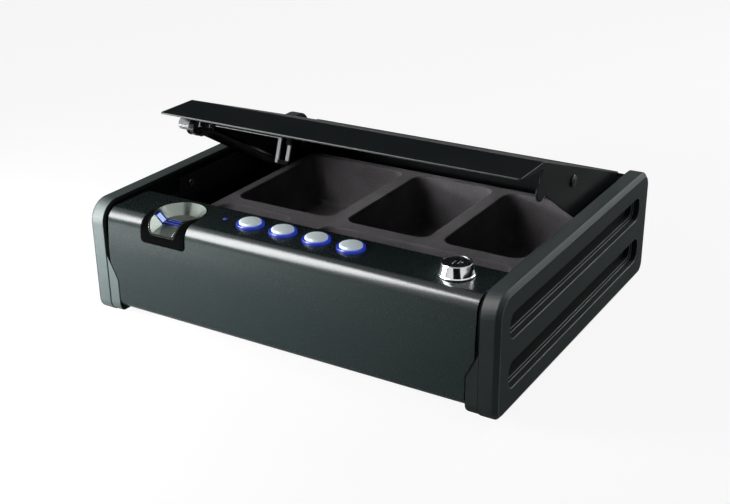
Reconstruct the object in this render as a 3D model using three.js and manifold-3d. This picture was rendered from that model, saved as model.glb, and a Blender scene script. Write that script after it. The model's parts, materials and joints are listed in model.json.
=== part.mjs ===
// Portable car safe: a steel box between two moulded end panels, with a control housing across the front
// and a folded steel lid that stands ajar on its gas stay.
// Millimetres, +X to the right, +Y to the back, +Z up. The origin is on the floor under the middle.
// Inside the model, y counts from the end panels' front and z from their bottom edge.
import * as THREE from 'three';
import { mergeVertices } from 'three/addons/utils/BufferGeometryUtils.js';
import Module from 'manifold-3d';

const wasm = await Module();
wasm.setup();

// Overall sizes
const safeWidth = 307;
const safeDepth = 250;
const panelHeight = 80.4;
const panelThickness = 13.9;
const gap = 0.3;
const overrun = 2;
const steel = 1.2;

// End panels
const panelFrontTopRadius = 15;
const panelBackTopRadius = 12;
const panelBottomRadius = 9;
const panelEdgeWidth = 2.4;
const panelEdgeDrop = 2.9;
const panelInnerEdge = 1.7;
const footWidth = 6.9;
const footTop = 41;
const footKnee = 26.5;
const footDepth = 16;
const footSetBack = 0.5;
const footRadius = 5;
const grooveDepth = 4.4;
const grooveDraft = 0.5;
const pocketDepth = 4;
const pocketFrontShelf = 1.6;
const pocketBackShelf = 4;
const pocketLowShelf = 3;
const pocketTopShelf = 0.5;
const grooveRadius = 6.4;
const upperGrooveFront = 15;
const upperGrooveBackInset = 18.5;
const upperGrooveBottom = 48.2;
const upperGrooveTop = 65.5;
const lowerGrooveFront = 15.4;
const lowerGrooveBackInset = 15.5;
const lowerGrooveBottom = 15.2;
const lowerGrooveTop = 33.5;

// Rubber feet
const footPadHeight = 2.6;
const footPadRadius = 4.4;
const footPadEdge = 5;
const footPadEnd = 21;

// Steel box
const boxWallTop = 74;
const boxWallFrontDrop = 9;
const boxWallRise = 31.5;
const boxFloorBottom = 7.9;
const boxFrontY = 46.5;
const boxBackMargin = 2.5;
const boxNoseY = 10;
const boxNoseGap = 0.9;
const boxFrontTop = 64;
const rearShelfDepth = 24;
const rearShelfTop = 75;
const rearShelfSideGap = 7.7;
const barRestY = 30;
const barRestWidth = 8;
const barRestXShares = [0.2, 0.7];

// Control housing
const housingWall = 2.6;
const housingEndGap = 1.3;
const housingFaceY = 0.6;
const housingLean = 2.4;
const housingBottom = 5;
const housingTop = 77;
const housingBackY = 45;
const housingBottomRadius = 8;
const housingTopRadius = 9.5;
const housingBackRadius = 1.5;
const housingBendZ = 50;
const housingLipBottom = 62;
const boardPostRadius = 2.5;

// End seals
const sealThickness = 0.7;
const sealInset = 1.2;
const sealBand = 5;

// Fingerprint reader
const readerX = -91;
const readerY = 22;
const readerRadius = 18.2;
const readerProud = 0.7;
const readerBottom = 60.3;
const readerCorner = 3;
const dishRadius = 17.2;
const dishFloorRadius = 12.3;
const dishFloorZ = 70.3;
const dishWall = 1.2;
const channelFloorHalf = 8.2;
const channelTopHalf = 12.9;
const channelFall = 11.5;
const channelStartY = 12.5;
const windowRadius = 11.2;
const windowThickness = 0.7;
const tileWidth = 5.2;
const tileHeight = 4;
const tileThickness = 0.8;
const tileTurn = 20;
const stripWidth = 3.4;
const stripLength = 14;

// Buttons and status lamp
const buttonCount = 4;
const buttonFirstX = -38.3;
const buttonPitch = 25.6;
const buttonY = 28.5;
const buttonRadius = 7.3;
const buttonTop = 80.4;
const buttonCrown = 0.9;
const buttonSkirtBottom = 74.9;
const buttonStemRadius = 2;
const buttonStemBottom = 70.6;
const buttonTravel = 1.2;
const ringInner = 7.7;
const ringOuter = 9.3;
const ringTop = 78.6;
const ringFlange = 10.8;
const ringFlangeThickness = 1.2;
const lampX = -58.8;
const lampRadius = 1.6;
const lampTop = 77.4;

// Circuit board
const boardTop = 66.1;
const boardThickness = 1.6;
const boardLeft = -66;
const boardRight = 50;
const boardFront = 12;
const boardBack = 40.5;
const switchSize = 6;

// Key lock
const lockInset = 27.2;
const lockY = 27;
const lockFlangeRadius = 11.7;
const lockFlangeThickness = 0.9;
const lockBaseRadius = 11.1;
const lockFaceRadius = 9.6;
const lockTop = 85.2;
const lockBore = 8.3;
const plugRadius = 8;
const plugTop = 84.5;
const barrelRadius = 9.5;
const barrelBottom = 56;
const nutRadius = 13;
const nutThickness = 4;
const keySlotWidth = 1.7;
const keySlotLength = 9;
const keySlotDepth = 6;
const camArm = 9;
const camRestAngle = 28;
const camThickness = 1.8;
const camHubRadius = 6;

// Latch, release bar and solenoid
const latchX = -35;
const boltWidth = 4.4;
const boltHeight = 5;
const boltZ = 54;
const boltTip = 57.6;
const boltShoulder = 36;
const boltTravel = 5;
const pinRadius = 1.5;
const pinY = 40;
const barTop = 50.2;
const barThickness = 2;
const barFront = 32;
const barBack = 43.5;
const barLeftOfLatch = 13;
const slotClear = 0.45;
const frameThickness = 1.2;
const frameHalf = 9.6;
const frameFront = 36.6;
const solenoidFront = 6;
const solenoidBack = 27;
const solenoidHalf = 9;
const solenoidHeight = 11;
const plungerRadius = 2.5;
const plungerFront = 16;
const coilTurns = 6;
const coilWire = 0.3;
const coilRadius = 3.1;
const coilSteps = 8;
const coilSides = 5;

// Batteries
const cellRadius = 7.2;
const cellLength = 50.2;
const cellNipple = 1.4;
const cellNippleRadius = 2.6;
const cellRowPitch = 16.4;
const holderX = 22;
const holderWall = 1.6;
const holderBottom = 10.4;
const doorThickness = 1.5;
const doorOverlap = 1.2;
const doorRailWidth = 2;
const doorGrip = 24;

// Lid
const lidOpenAngle = 19.9;
const hingeInset = 20.6;
const hingeZ = 56;
const lidTop = 79.5;
const lidFoldWidth = 32.1;
const lidEdgeGap = 0.9;
const lidEdgeZ = 67.8;
const lidHem = 1;
const lidCorner = 1.5;
const lidBackReach = 7;
const lidLip = 4.5;
const armSideGap = 2.3;
const armThickness = 1.4;
const armFrontReach = 150.9;
const armFrontZ = 61.5;
const armLowReach = 23.4;
const armLowZ = 33.5;
const armLobe = 11;
const armNose = 3;
const armHeel = 8;
const armTip = 6.4;
const panSideGap = 17.8;
const panFrontGap = 8;
const panBackReach = 14.4;
const panDepth = 4;
const panWall = 1;
const panRadius = 8;
const hingePinRadius = 3;
const hingeHeadRadius = 5;
const hingeHeadThickness = 1.7;
const armPlate = 1.2;
const armPlateFront = 33.5;
const armPlateBack = 9.5;
const armPlateBelow = 10;
const armPlateAbove = 8;
const armPlateRadius = 4;
const tabReach = 3.5;
const tabThickness = 1.8;
const tabBottom = -8;
const frontTabTop = 5.3;
const middleTabOffset = 19.7;
const middleTabTop = 0;
const backTabBottom = -3;
const backTabTop = 7;
const rivetReach = 95.4;
const rivetZ = 70;
const rivetRadius = 4.2;
const rivetHead = 1.5;
const rivetShank = 2;

// Striker under the lid's front
const strikerLeg = 2.5;
const strikerWindow = 5.4;
const strikerGap = 4.8;
const strikerThickness = 1.5;
const strikerBottom = 49;
const strikerBar = 1.8;
const strikerTop = 68.6;

// Gas stay
const staySideGap = 9.5;
const stayLidSetIn = 3.9;
const stayLidZ = 61.3;
const stayBoxReach = 15.4;
const stayBoxZ = 38;
const stayTubeRadius = 4.5;
const stayTubeLength = 98;
const stayTubeStart = 9;
const stayBoreRadius = 2.4;
const stayBoreDepth = 66;
const stayRodRadius = 2;
const stayRodOverlap = 9;
const stayEyeWidth = 6;
const stayEyeOuter = 6.4;
const stayBallRadius = 3.6;
const stayFootEyeOuter = 7;
const stayFootBore = 4.9;
const stayFootBall = 3;
const stayOffset = 0.36;
const stayBase = 5.4;
const stayBaseThickness = 1.1;

// Stay bracket on the floor
const bracketHalf = 7;
const bracketFoot = 8;

// Tray, mat and wall screws
const traySideGap = 15.1;
const trayFrontGap = 11.3;
const trayBackGap = 16.8;
const trayTop = 53;
const traySkin = 1.8;
const trayDraft = 3;
const trayCorner = 9;
const trayOuterCorner = 11;
const trayFloorFillet = 3;
const matSideGap = 19.1;
const matThickness = 2;
const matFrontGap = 14.3;
const matBackGap = 20.3;
const screwY = 89.8;
const screwBackInset = 64;
const screwZ = 68.2;
const screwHeadRadius = 2.9;
const screwHead = 1.3;
const screwShank = 1.5;
const screwDepth = 7;

// Facets
const arcSteps = 5;
const roundSides = 32;
const smallSides = 16;

const panelOuterX = safeWidth / 2;
const panelInnerX = panelOuterX - panelThickness;
const lockX = panelInnerX - lockInset;
const boxOuterX = panelInnerX - gap;
const boxInnerX = boxOuterX - steel;
const boxBackY = safeDepth - boxBackMargin;
const boxFloorTop = boxFloorBottom + steel;
const housingHalf = panelInnerX - housingEndGap;
const boxNoseHalf = panelInnerX - footWidth - boxNoseGap;
const boxFrontInner = boxFrontY + steel;
const boxBackInner = boxBackY - steel;
const rearShelfHalf = boxInnerX - rearShelfSideGap;
const hingeY = safeDepth - hingeInset;
const lidEdgeY = housingBackY + lidEdgeGap;
const lidFoldY = lidEdgeY + lidFoldWidth;
const lidBackY = hingeY - lidBackReach;
const armOuter = boxInnerX - armSideGap;
const lidHalf = armOuter;
const armFrontY = hingeY - armFrontReach;
const armLowY = hingeY - armLowReach;
const panHalf = lidHalf - panSideGap;
const panFrontY = lidFoldY + panFrontGap;
const panBackY = hingeY - panBackReach;
const rivetY = hingeY - rivetReach;
const stayX = -boxInnerX + staySideGap;
const stayLidReach = armFrontReach - stayLidSetIn;
const stayLidY = hingeY - stayLidReach;
const stayRodStart = stayTubeStart + stayTubeLength - stayBoreDepth + stayRodOverlap;
const stayBoxY = hingeY - stayBoxReach;
const screwBackY = safeDepth - screwBackInset;
const strikerY = boxFrontInner + strikerGap;
const trayHalf = boxInnerX - traySideGap;
const trayFront = boxFrontInner + trayFrontGap;
const trayBack = boxBackInner - trayBackGap;

const finish = (color, roughness, metalness, more = {}) =>
  new THREE.MeshStandardMaterial({ color, roughness, metalness, ...more });
const finishes = {
  panel: finish(0x39433f, 0.62, 0.1),
  housing: finish(0x3c4744, 0.34, 0.35),
  steel: finish(0x15191a, 0.5, 0.4),
  lid: finish(0x181d1d, 0.42, 0.4),
  seal: finish(0x0c0e0e, 0.85, 0),
  bezel: finish(0x161918, 0.4, 0.05),
  dish: finish(0x8a918c, 0.35, 0.7),
  window: finish(0x14180f, 0.15, 0),
  glow: finish(0x2c4cff, 0.3, 0, { emissive: 0x2238ff }),
  button: finish(0xc9d0d0, 0.4, 0.1),
  board: finish(0x1f4a2c, 0.6, 0),
  holder: finish(0x1b1c1e, 0.6, 0),
  cell: finish(0x2f3a44, 0.35, 0.5),
  chrome: finish(0xe6e8ea, 0.08, 1),
  black: finish(0x101112, 0.3, 0.1),
  brass: finish(0xb08d4a, 0.35, 0.9),
  zinc: finish(0xb9bec2, 0.35, 0.9),
  stay: finish(0x131415, 0.3, 0.4),
  velour: finish(0x3d3a3c, 0.95, 0),
  mat: finish(0x232224, 0.95, 0),
  rubber: finish(0x141414, 0.9, 0),
};

// Outlines in a plane
const point = (u, v) => new THREE.Vector2(u, v);

// Corners are [u, v, radius] in counter-clockwise order.
function roundedOutline(corners, steps = arcSteps) {
  const outline = [];
  corners.forEach(([u, v, radius], i) => {
    const here = point(u, v);
    if (!radius) {
      outline.push(here);
      return;
    }
    const [pu, pv] = corners[(i + corners.length - 1) % corners.length];
    const [nu, nv] = corners[(i + 1) % corners.length];
    const back = point(pu, pv).sub(here).normalize();
    const on = point(nu, nv).sub(here).normalize();
    const half = Math.acos(THREE.MathUtils.clamp(back.dot(on), -1, 1)) / 2;
    const centre = back.clone().add(on).normalize().multiplyScalar(radius / Math.sin(half)).add(here);
    const start = back.clone().multiplyScalar(radius / Math.tan(half)).add(here).sub(centre);
    const end = on.clone().multiplyScalar(radius / Math.tan(half)).add(here).sub(centre);
    const first = Math.atan2(start.y, start.x);
    let sweep = Math.atan2(end.y, end.x) - first;
    if (sweep > Math.PI) sweep -= 2 * Math.PI;
    if (sweep < -Math.PI) sweep += 2 * Math.PI;
    for (let k = 0; k <= steps; k += 1) {
      const angle = first + (sweep * k) / steps;
      outline.push(point(centre.x + radius * Math.cos(angle), centre.y + radius * Math.sin(angle)));
    }
  });
  return outline;
}

const rectangle = (u0, u1, v0, v1, radius = 0, steps = arcSteps) =>
  roundedOutline([[u0, v0, radius], [u1, v0, radius], [u1, v1, radius], [u0, v1, radius]], steps);

const circle = (u, v, radius, sides = roundSides) =>
  Array.from({ length: sides }, (_, k) => {
    const angle = (2 * Math.PI * k) / sides;
    return point(u + radius * Math.cos(angle), v + radius * Math.sin(angle));
  });

// A slot's outline is the path that a round pin sweeps between two points.
function slotOutline(u0, v0, u1, v1, radius, sides = smallSides) {
  const heading = Math.atan2(v1 - v0, u1 - u0);
  const outline = [];
  for (let k = 0; k <= sides / 2; k += 1) {
    const angle = heading - Math.PI / 2 + (2 * Math.PI * k) / sides;
    outline.push(point(u1 + radius * Math.cos(angle), v1 + radius * Math.sin(angle)));
  }
  for (let k = 0; k <= sides / 2; k += 1) {
    const angle = heading + Math.PI / 2 + (2 * Math.PI * k) / sides;
    outline.push(point(u0 + radius * Math.cos(angle), v0 + radius * Math.sin(angle)));
  }
  return outline;
}

// A closed body through outlines of equal point count, each at its own level.
function stack(rings) {
  const count = rings[0].outline.length;
  const places = rings.flatMap(({ outline, level }) => outline.flatMap((p) => [p.x, p.y, level]));
  const index = [];
  for (let r = 0; r + 1 < rings.length; r += 1) {
    for (let k = 0; k < count; k += 1) {
      const a = r * count + k;
      const b = r * count + ((k + 1) % count);
      index.push(a, b, b + count, a, b + count, a + count);
    }
  }
  const low = THREE.ShapeUtils.triangulateShape(rings[0].outline, []);
  const high = THREE.ShapeUtils.triangulateShape(rings[rings.length - 1].outline, []);
  const last = (rings.length - 1) * count;
  low.forEach(([a, b, c]) => index.push(a, c, b));
  high.forEach(([a, b, c]) => index.push(last + a, last + b, last + c));
  const geometry = new THREE.BufferGeometry();
  geometry.setAttribute('position', new THREE.Float32BufferAttribute(places, 3));
  geometry.setIndex(index);
  return geometry;
}

// Turns a body that was drawn in u, v and level so that its levels run along the named axis.
const axes = {
  x: new THREE.Matrix4().makeBasis(point3(0, 1, 0), point3(0, 0, 1), point3(1, 0, 0)),
  y: new THREE.Matrix4().makeBasis(point3(1, 0, 0), point3(0, 0, 1), point3(0, -1, 0)),
  z: new THREE.Matrix4(),
};

function point3(x, y, z) {
  return new THREE.Vector3(x, y, z);
}

function signedVolume(geometry) {
  const at = geometry.attributes.position;
  const index = geometry.index.array;
  const [a, b, c] = [point3(0, 0, 0), point3(0, 0, 0), point3(0, 0, 0)];
  let total = 0;
  for (let k = 0; k < index.length; k += 3) {
    a.fromBufferAttribute(at, index[k]);
    b.fromBufferAttribute(at, index[k + 1]);
    c.fromBufferAttribute(at, index[k + 2]);
    total += a.dot(b.cross(c));
  }
  return total;
}

function solid(geometry, axis = 'z') {
  const bare = geometry.clone().applyMatrix4(axes[axis]);
  Object.keys(bare.attributes).filter((name) => name !== 'position').forEach((name) => bare.deleteAttribute(name));
  const merged = mergeVertices(bare);
  const index = Uint32Array.from(merged.index.array);
  if (signedVolume(merged) < 0) {
    for (let k = 0; k < index.length; k += 3) [index[k], index[k + 1]] = [index[k + 1], index[k]];
  }
  const vertices = Float32Array.from(merged.attributes.position.array);
  return new wasm.Manifold(new wasm.Mesh({ numProp: 3, vertProperties: vertices, triVerts: index }));
}

const slabX = (outline, x0, x1) => solid(stack([{ outline, level: x0 }, { outline, level: x1 }]), 'x');
const slabY = (outline, y0, y1) => solid(stack([{ outline, level: -y1 }, { outline, level: -y0 }]), 'y');
const slabZ = (outline, z0, z1) => solid(stack([{ outline, level: z0 }, { outline, level: z1 }]), 'z');
const block = (x0, x1, y0, y1, z0, z1) => slabZ(rectangle(x0, x1, y0, y1), z0, z1);
const rodX = (y, z, radius, x0, x1, sides) => slabX(circle(y, z, radius, sides), x0, x1);
const rodY = (x, z, radius, y0, y1, sides) => slabY(circle(x, z, radius, sides), y0, y1);
const rodZ = (x, y, radius, z0, z1, sides) => slabZ(circle(x, y, radius, sides), z0, z1);

// Turned about the vertical line through x and y; the profile's points are [radius, z].
function turned(profile, x, y, sides = roundSides) {
  const points = profile.map(([radius, z]) => point(radius, z));
  const geometry = new THREE.LatheGeometry(points, sides);
  geometry.rotateX(Math.PI / 2);
  geometry.translate(x, y, 0);
  const ready = geometry.index ? geometry : mergeVertices(geometry);
  return solid(dropFlat(ready));
}

// Removes the triangles that a point on the axis leaves without area.
function dropFlat(geometry) {
  const bare = geometry.clone();
  ['normal', 'uv'].forEach((name) => bare.deleteAttribute(name));
  const merged = mergeVertices(bare);
  const kept = [];
  const index = merged.index.array;
  for (let k = 0; k < index.length; k += 3) {
    const [a, b, c] = [index[k], index[k + 1], index[k + 2]];
    if (a !== b && b !== c && c !== a) kept.push(a, b, c);
  }
  merged.setIndex(kept);
  return merged;
}

const join = (...bodies) => bodies.reduce((sum, body) => sum.add(body));
const cut = (body, ...tools) => tools.reduce((rest, tool) => rest.subtract(tool), body);

function geometryOf(body) {
  const { vertProperties, triVerts } = body.getMesh();
  const geometry = new THREE.BufferGeometry();
  geometry.setAttribute('position', new THREE.Float32BufferAttribute(vertProperties, 3));
  geometry.setIndex(new THREE.BufferAttribute(triVerts, 1));
  geometry.computeVertexNormals();
  return geometry;
}

const safe = new THREE.Group();
safe.position.set(0, -safeDepth / 2, footPadHeight);

function place(name, body, material, parent = safe) {
  const mesh = new THREE.Mesh(geometryOf(body), material);
  mesh.name = name;
  parent.add(mesh);
  return mesh;
}

// End panels
const panelOutline = (inset) => roundedOutline([
  [inset, inset, panelBottomRadius - inset],
  [safeDepth - inset, inset, panelBottomRadius - inset],
  [safeDepth - inset, panelHeight - inset, panelBackTopRadius - inset],
  [inset, panelHeight - inset, panelFrontTopRadius - inset],
], arcSteps + 3);

// Each groove is [front, back, bottom, top], with a deeper pocket inside it that leaves a shelf along its lower side.
const grooves = [
  [upperGrooveFront, safeDepth - upperGrooveBackInset, upperGrooveBottom, upperGrooveTop],
  [lowerGrooveFront, safeDepth - lowerGrooveBackInset, lowerGrooveBottom, lowerGrooveTop],
];
const grooveOutline = ([front, back, bottom, top], inset) =>
  rectangle(front + inset, back - inset, bottom + inset, top - inset, grooveRadius - inset);
const pocketOutline = ([front, back, bottom, top], inset) =>
  rectangle(front + pocketFrontShelf + inset, back - pocketBackShelf - inset, bottom + pocketLowShelf + inset,
    top - pocketTopShelf - inset, grooveRadius - pocketLowShelf / 2 - inset);

// The foot's inner contour, grown by clearance where the housing is cut for it.
function footOutline(side, clearance) {
  const inner = panelInnerX - footWidth - clearance;
  const outer = panelInnerX + footRadius;
  const rise = (footTop - footKnee) / footWidth;
  const corners = [
    [outer, -overrun - clearance, 0],
    [outer, footTop + rise * (footRadius + clearance), 0],
    [inner, footKnee, footRadius / 2],
    [inner, -clearance, footRadius],
  ];
  const wound = corners.map(([u, v, radius]) => [side * u, v + (v < 0 && !radius ? overrun : 0), radius]);
  return roundedOutline(side > 0 ? wound : wound.reverse());
}

function endPanel(side) {
  const rings = [
    { outline: panelOutline(panelInnerEdge), level: panelInnerX },
    { outline: panelOutline(0), level: panelInnerX + panelInnerEdge },
    { outline: panelOutline(0), level: panelOuterX - panelEdgeWidth },
    { outline: panelOutline(panelEdgeDrop), level: panelOuterX },
  ];
  let body = solid(stack(rings), 'x');
  grooves.forEach((groove) => {
    const shelf = panelOuterX - grooveDepth;
    body = cut(body, solid(stack([
      { outline: grooveOutline(groove, grooveDraft), level: shelf },
      { outline: grooveOutline(groove, 0), level: panelOuterX },
      { outline: grooveOutline(groove, 0), level: panelOuterX + overrun },
    ]), 'x'), solid(stack([
      { outline: pocketOutline(groove, grooveDraft), level: shelf - pocketDepth },
      { outline: pocketOutline(groove, 0), level: shelf },
      { outline: pocketOutline(groove, 0), level: shelf + grooveDepth / 2 },
    ]), 'x'));
  });
  const footBlock = slabX(panelOutline(footSetBack), panelInnerX - footWidth - overrun, panelInnerX + footRadius);
  body = join(body, slabY(footOutline(1, 0), 0, footDepth).intersect(footBlock));
  [screwY, screwBackY].forEach((y) => {
    body = cut(body, rodX(y, screwZ, screwShank + gap, panelInnerX - overrun, panelInnerX + screwDepth, smallSides));
  });
  return side > 0 ? body : body.mirror([1, 0, 0]);
}
place('end_panel_left', endPanel(-1), finishes.panel);
place('end_panel_right', endPanel(1), finishes.panel);

// Rubber feet under the end panels
const footPad = (x, y) => turned([[0, -footPadHeight], [footPadRadius - footSetBack, -footPadHeight],
  [footPadRadius, -footPadHeight + footSetBack], [footPadRadius, 0], [0, 0]], x, y, smallSides);
[['front_left', -1, footPadEnd], ['front_right', 1, footPadEnd], ['rear_left', -1, safeDepth - footPadEnd],
  ['rear_right', 1, safeDepth - footPadEnd]].forEach(([corner, side, y]) => {
  place(`foot_${corner}`, footPad(side * (panelInnerX + footPadEdge), y), finishes.rubber);
});

// Steel box
const holderHalf = cellLength + gap * 2 + holderWall;
const holderTop = holderBottom + cellRowPitch * 2 + holderWall * 2;
const windowHalf = holderHalf - holderWall;
const doorBottom = boxFloorTop + gap;
const doorTop = holderTop - holderWall + doorOverlap;
const doorHalf = windowHalf + doorOverlap;
const doorY = boxFrontInner + gap;
const wallScrews = [-1, 1].flatMap((side) => [screwY, screwBackY].map((y) => [side, y]));

function steelBox() {
  const sides = [-1, 1].map((side) => {
    const [x0, x1] = side > 0 ? [boxInnerX, boxOuterX] : [-boxOuterX, -boxInnerX];
    return join(block(x0, x1, boxFrontY, boxBackY, boxFloorBottom, boxWallTop - boxWallFrontDrop),
      block(x0, x1, boxFrontY + boxWallRise, boxBackY, boxFloorBottom, boxWallTop));
  });
  const rails = [-1, 1].map((side) => {
    const wall = holderX + side * (doorHalf + gap);
    const reach = holderX + side * (doorHalf + gap + doorRailWidth);
    const cover = holderX + side * (doorHalf - doorRailWidth);
    const [x0, x1] = [Math.min(wall, reach), Math.max(wall, reach)];
    const [c0, c1] = [Math.min(cover, reach), Math.max(cover, reach)];
    const backOfDoor = doorY + doorThickness + gap;
    return join(
      block(x0, x1, boxFrontY + steel / 2, backOfDoor + steel, boxFloorTop - steel / 2, doorTop),
      block(c0, c1, backOfDoor, backOfDoor + steel, boxFloorTop - steel / 2, doorTop),
    );
  });
  const rests = barRestXShares.map((share) => {
    const x = latchX + share * (lockX - latchX);
    const top = barTop - barThickness - gap;
    return block(x, x + barRestWidth, barRestY, boxFrontY + steel / 2, top - steel, top);
  });
  let body = join(
    block(-boxOuterX, boxOuterX, boxFrontY, boxBackY, boxFloorBottom, boxFloorTop),
    block(-boxNoseHalf, boxNoseHalf, boxNoseY, boxFrontY + steel, boxFloorBottom, boxFloorTop),
    ...sides,
    block(-boxOuterX, boxOuterX, boxBackY - steel, boxBackY, boxFloorBottom, boxWallTop),
    block(-rearShelfHalf, rearShelfHalf, boxBackY - rearShelfDepth, boxBackY, rearShelfTop - steel, rearShelfTop),
    block(-boxOuterX, boxOuterX, boxFrontY, boxFrontY + steel, boxFloorBottom, boxFrontTop),
    ...rails,
    ...rests,
  );
  body = cut(body,
    slabY(rectangle(holderX - windowHalf, holderX + windowHalf, holderBottom + holderWall, holderTop - holderWall),
      boxFrontY - overrun, boxFrontY + overrun),
    block(latchX - boltWidth / 2 - gap, latchX + boltWidth / 2 + gap, boxFrontY - overrun, boxFrontY + overrun,
      boltZ - boltHeight / 2 - gap, boltZ + boltHeight / 2 + gap));
  [-1, 1].forEach((side) => {
    const [x0, x1] = side > 0 ? [boxInnerX - overrun, boxOuterX + overrun] : [-boxOuterX - overrun, -boxInnerX + overrun];
    body = cut(body, rodX(hingeY, hingeZ, hingePinRadius + gap, x0, x1, smallSides));
    [screwY, screwBackY].forEach((y) => {
      body = cut(body, rodX(y, screwZ, screwShank + gap, x0, x1, smallSides));
    });
  });
  return body;
}
place('steel_box', steelBox(), finishes.steel);

// Control housing: a long moulded cover with closed ends, open at the back
const housingTopRun = housingTop - housingBendZ;
const housingOutline = (grow) => roundedOutline([
  [housingFaceY - grow, housingBottom - grow, housingBottomRadius + grow],
  [housingBackY, housingBottom - grow, 0],
  [housingBackY, housingTop + grow, grow ? 0 : housingBackRadius],
  [housingFaceY + housingLean - grow, housingTop + grow, housingTopRadius + grow],
  [housingFaceY - grow, housingTop - housingTopRun, 0],
], arcSteps + 2);
const housingCavity = roundedOutline([
  [housingFaceY + housingWall, housingBottom + housingWall, housingBottomRadius - housingWall],
  [housingBackY + overrun, housingBottom + housingWall, 0],
  [housingBackY + overrun, housingLipBottom, 0],
  [housingBackY - housingWall, housingLipBottom, 0],
  [housingBackY - housingWall, housingTop - housingWall, 0],
  [housingFaceY + housingLean + housingWall, housingTop - housingWall, housingTopRadius - housingWall],
  [housingFaceY + housingWall, housingTop - housingTopRun, 0],
]);

// The reader's plan outline: a circle at the back and straight sides to the front.
const readerPlan = (grow) => {
  const radius = readerRadius + grow;
  const arc = circle(readerX, readerY, radius, roundSides).filter((p) => p.y > readerY - gap);
  const front = -overrun * 2;
  return [point(readerX + radius, front), ...arc, point(readerX - radius, front)];
};
const readerFront = (grow) => rectangle(readerX - readerRadius - grow, readerX + readerRadius + grow,
  readerBottom - grow, housingTop + housingWall, readerCorner);
const readerBlock = (grow) => slabZ(readerPlan(grow), readerBottom - grow, housingTop + housingWall)
  .intersect(slabY(readerFront(grow), -overrun * 2, readerY * 2));
const buttonXs = Array.from({ length: buttonCount }, (_, k) => buttonFirstX + k * buttonPitch);
const wallBottom = housingTop - housingWall;
const holeBottom = wallBottom - overrun;
const holeTop = housingTop + overrun;

function controlHousing() {
  let body = cut(slabX(housingOutline(0), -housingHalf, housingHalf),
    slabX(housingCavity, -housingHalf + housingWall, housingHalf - housingWall));
  const posts = [boardLeft, boardRight].map((x) =>
    rodZ(x + Math.sign(-x) * boardPostRadius * 2, boardFront + boardPostRadius, boardPostRadius,
      boardTop + gap, housingTop - housingWall / 2, smallSides));
  body = join(body, ...posts);
  body = cut(body,
    slabY(footOutline(1, gap), -overrun, footDepth + gap),
    slabY(footOutline(-1, gap), -overrun, footDepth + gap),
    readerBlock(gap),
    rodZ(lampX, buttonY, lampRadius + gap, holeBottom, holeTop, smallSides),
    rodZ(lockX, lockY, barrelRadius + gap, holeBottom, holeTop),
    ...buttonXs.map((x) => rodZ(x, buttonY, ringOuter + gap, holeBottom, holeTop)));
  return body;
}
place('control_housing', controlHousing(), finishes.housing);

// Soft seal bands between the housing's ends and the end panels
function endSeal(side) {
  const ring = (inset) => roundedOutline([
    [housingFaceY + inset, housingBottom + inset, housingBottomRadius],
    [housingBackY - inset, housingBottom + inset, 0],
    [housingBackY - inset, housingTop - inset, 0],
    [housingFaceY + housingLean + inset, housingTop - inset, housingTopRadius],
    [housingFaceY + inset, housingTop - housingTopRun, 0],
  ]);
  const x0 = housingHalf + gap;
  const body = cut(slabX(ring(sealInset), x0, x0 + sealThickness),
    slabX(ring(sealInset + sealBand), x0 - overrun, x0 + overrun),
    slabY(footOutline(1, gap), -overrun, footDepth + gap));
  return side > 0 ? body : body.mirror([1, 0, 0]);
}
place('end_seal_left', endSeal(-1), finishes.seal);
place('end_seal_right', endSeal(1), finishes.seal);

// Fingerprint reader: bezel, metallic dish, dark window, lit tile and light strip
const channelSection = (grow) => [
  point(readerX - channelFloorHalf - grow, dishFloorZ - grow),
  point(readerX + channelFloorHalf + grow, dishFloorZ - grow),
  point(readerX + channelTopHalf + grow, housingTop + housingWall),
  point(readerX - channelTopHalf - grow, housingTop + housingWall),
];
function dishSpace(grow) {
  const spread = (dishRadius - dishFloorRadius) / (housingTop + readerProud - dishFloorZ);
  const top = housingTop + housingWall;
  const topRadius = dishFloorRadius + spread * (top - dishFloorZ);
  const bowl = turned([[0, dishFloorZ - grow], [dishFloorRadius + grow, dishFloorZ - grow],
    [topRadius + grow, top], [0, top]], readerX, readerY);
  const fall = Math.tan(THREE.MathUtils.degToRad(channelFall));
  const reach = channelStartY + overrun * 2;
  const channel = stack([
    { outline: channelSection(grow), level: -readerY },
    { outline: channelSection(grow), level: -channelStartY },
    { outline: channelSection(grow).map((p) => point(p.x, p.y - fall * reach)), level: -channelStartY + reach },
  ]);
  return join(bowl, solid(channel, 'y'));
}
const readerSkin = slabX(housingOutline(readerProud), readerX - readerRadius * 2, readerX + readerRadius * 2);
place('reader_bezel', cut(readerBlock(0).intersect(readerSkin), dishSpace(dishWall + gap)), finishes.bezel);
place('reader_dish', cut(dishSpace(dishWall).intersect(readerSkin).intersect(readerBlock(-gap)), dishSpace(0)),
  finishes.dish);
const windowPlan = circle(readerX, readerY, windowRadius).filter((p) => p.y > channelStartY + gap);
place('reader_window', slabZ(windowPlan, dishFloorZ, dishFloorZ + windowThickness), finishes.window);

const stripZ = dishFloorZ + windowThickness;
const stripY = channelStartY + overrun * 2;
place('reader_light_strip', block(readerX - stripLength / 2, readerX + stripLength / 2, stripY, stripY + stripWidth,
  stripZ, stripZ + windowThickness / 2), finishes.glow);

function lightTile() {
  const rise = housingTop + readerProud - dishFloorZ;
  const outline = rectangle(-tileHeight / 2, tileHeight / 2, -tileWidth / 2, tileWidth / 2);
  const geometry = stack([{ outline, level: gap * 2 }, { outline, level: gap * 2 + tileThickness }]);
  geometry.rotateY(Math.atan2(rise, dishRadius - dishFloorRadius));
  geometry.translate(-(dishFloorRadius + dishRadius) / 2, 0, dishFloorZ + rise / 2);
  geometry.rotateZ(THREE.MathUtils.degToRad(tileTurn));
  geometry.translate(readerX, readerY, 0);
  return solid(geometry);
}
place('reader_light_tile', lightTile(), finishes.glow);

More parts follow.
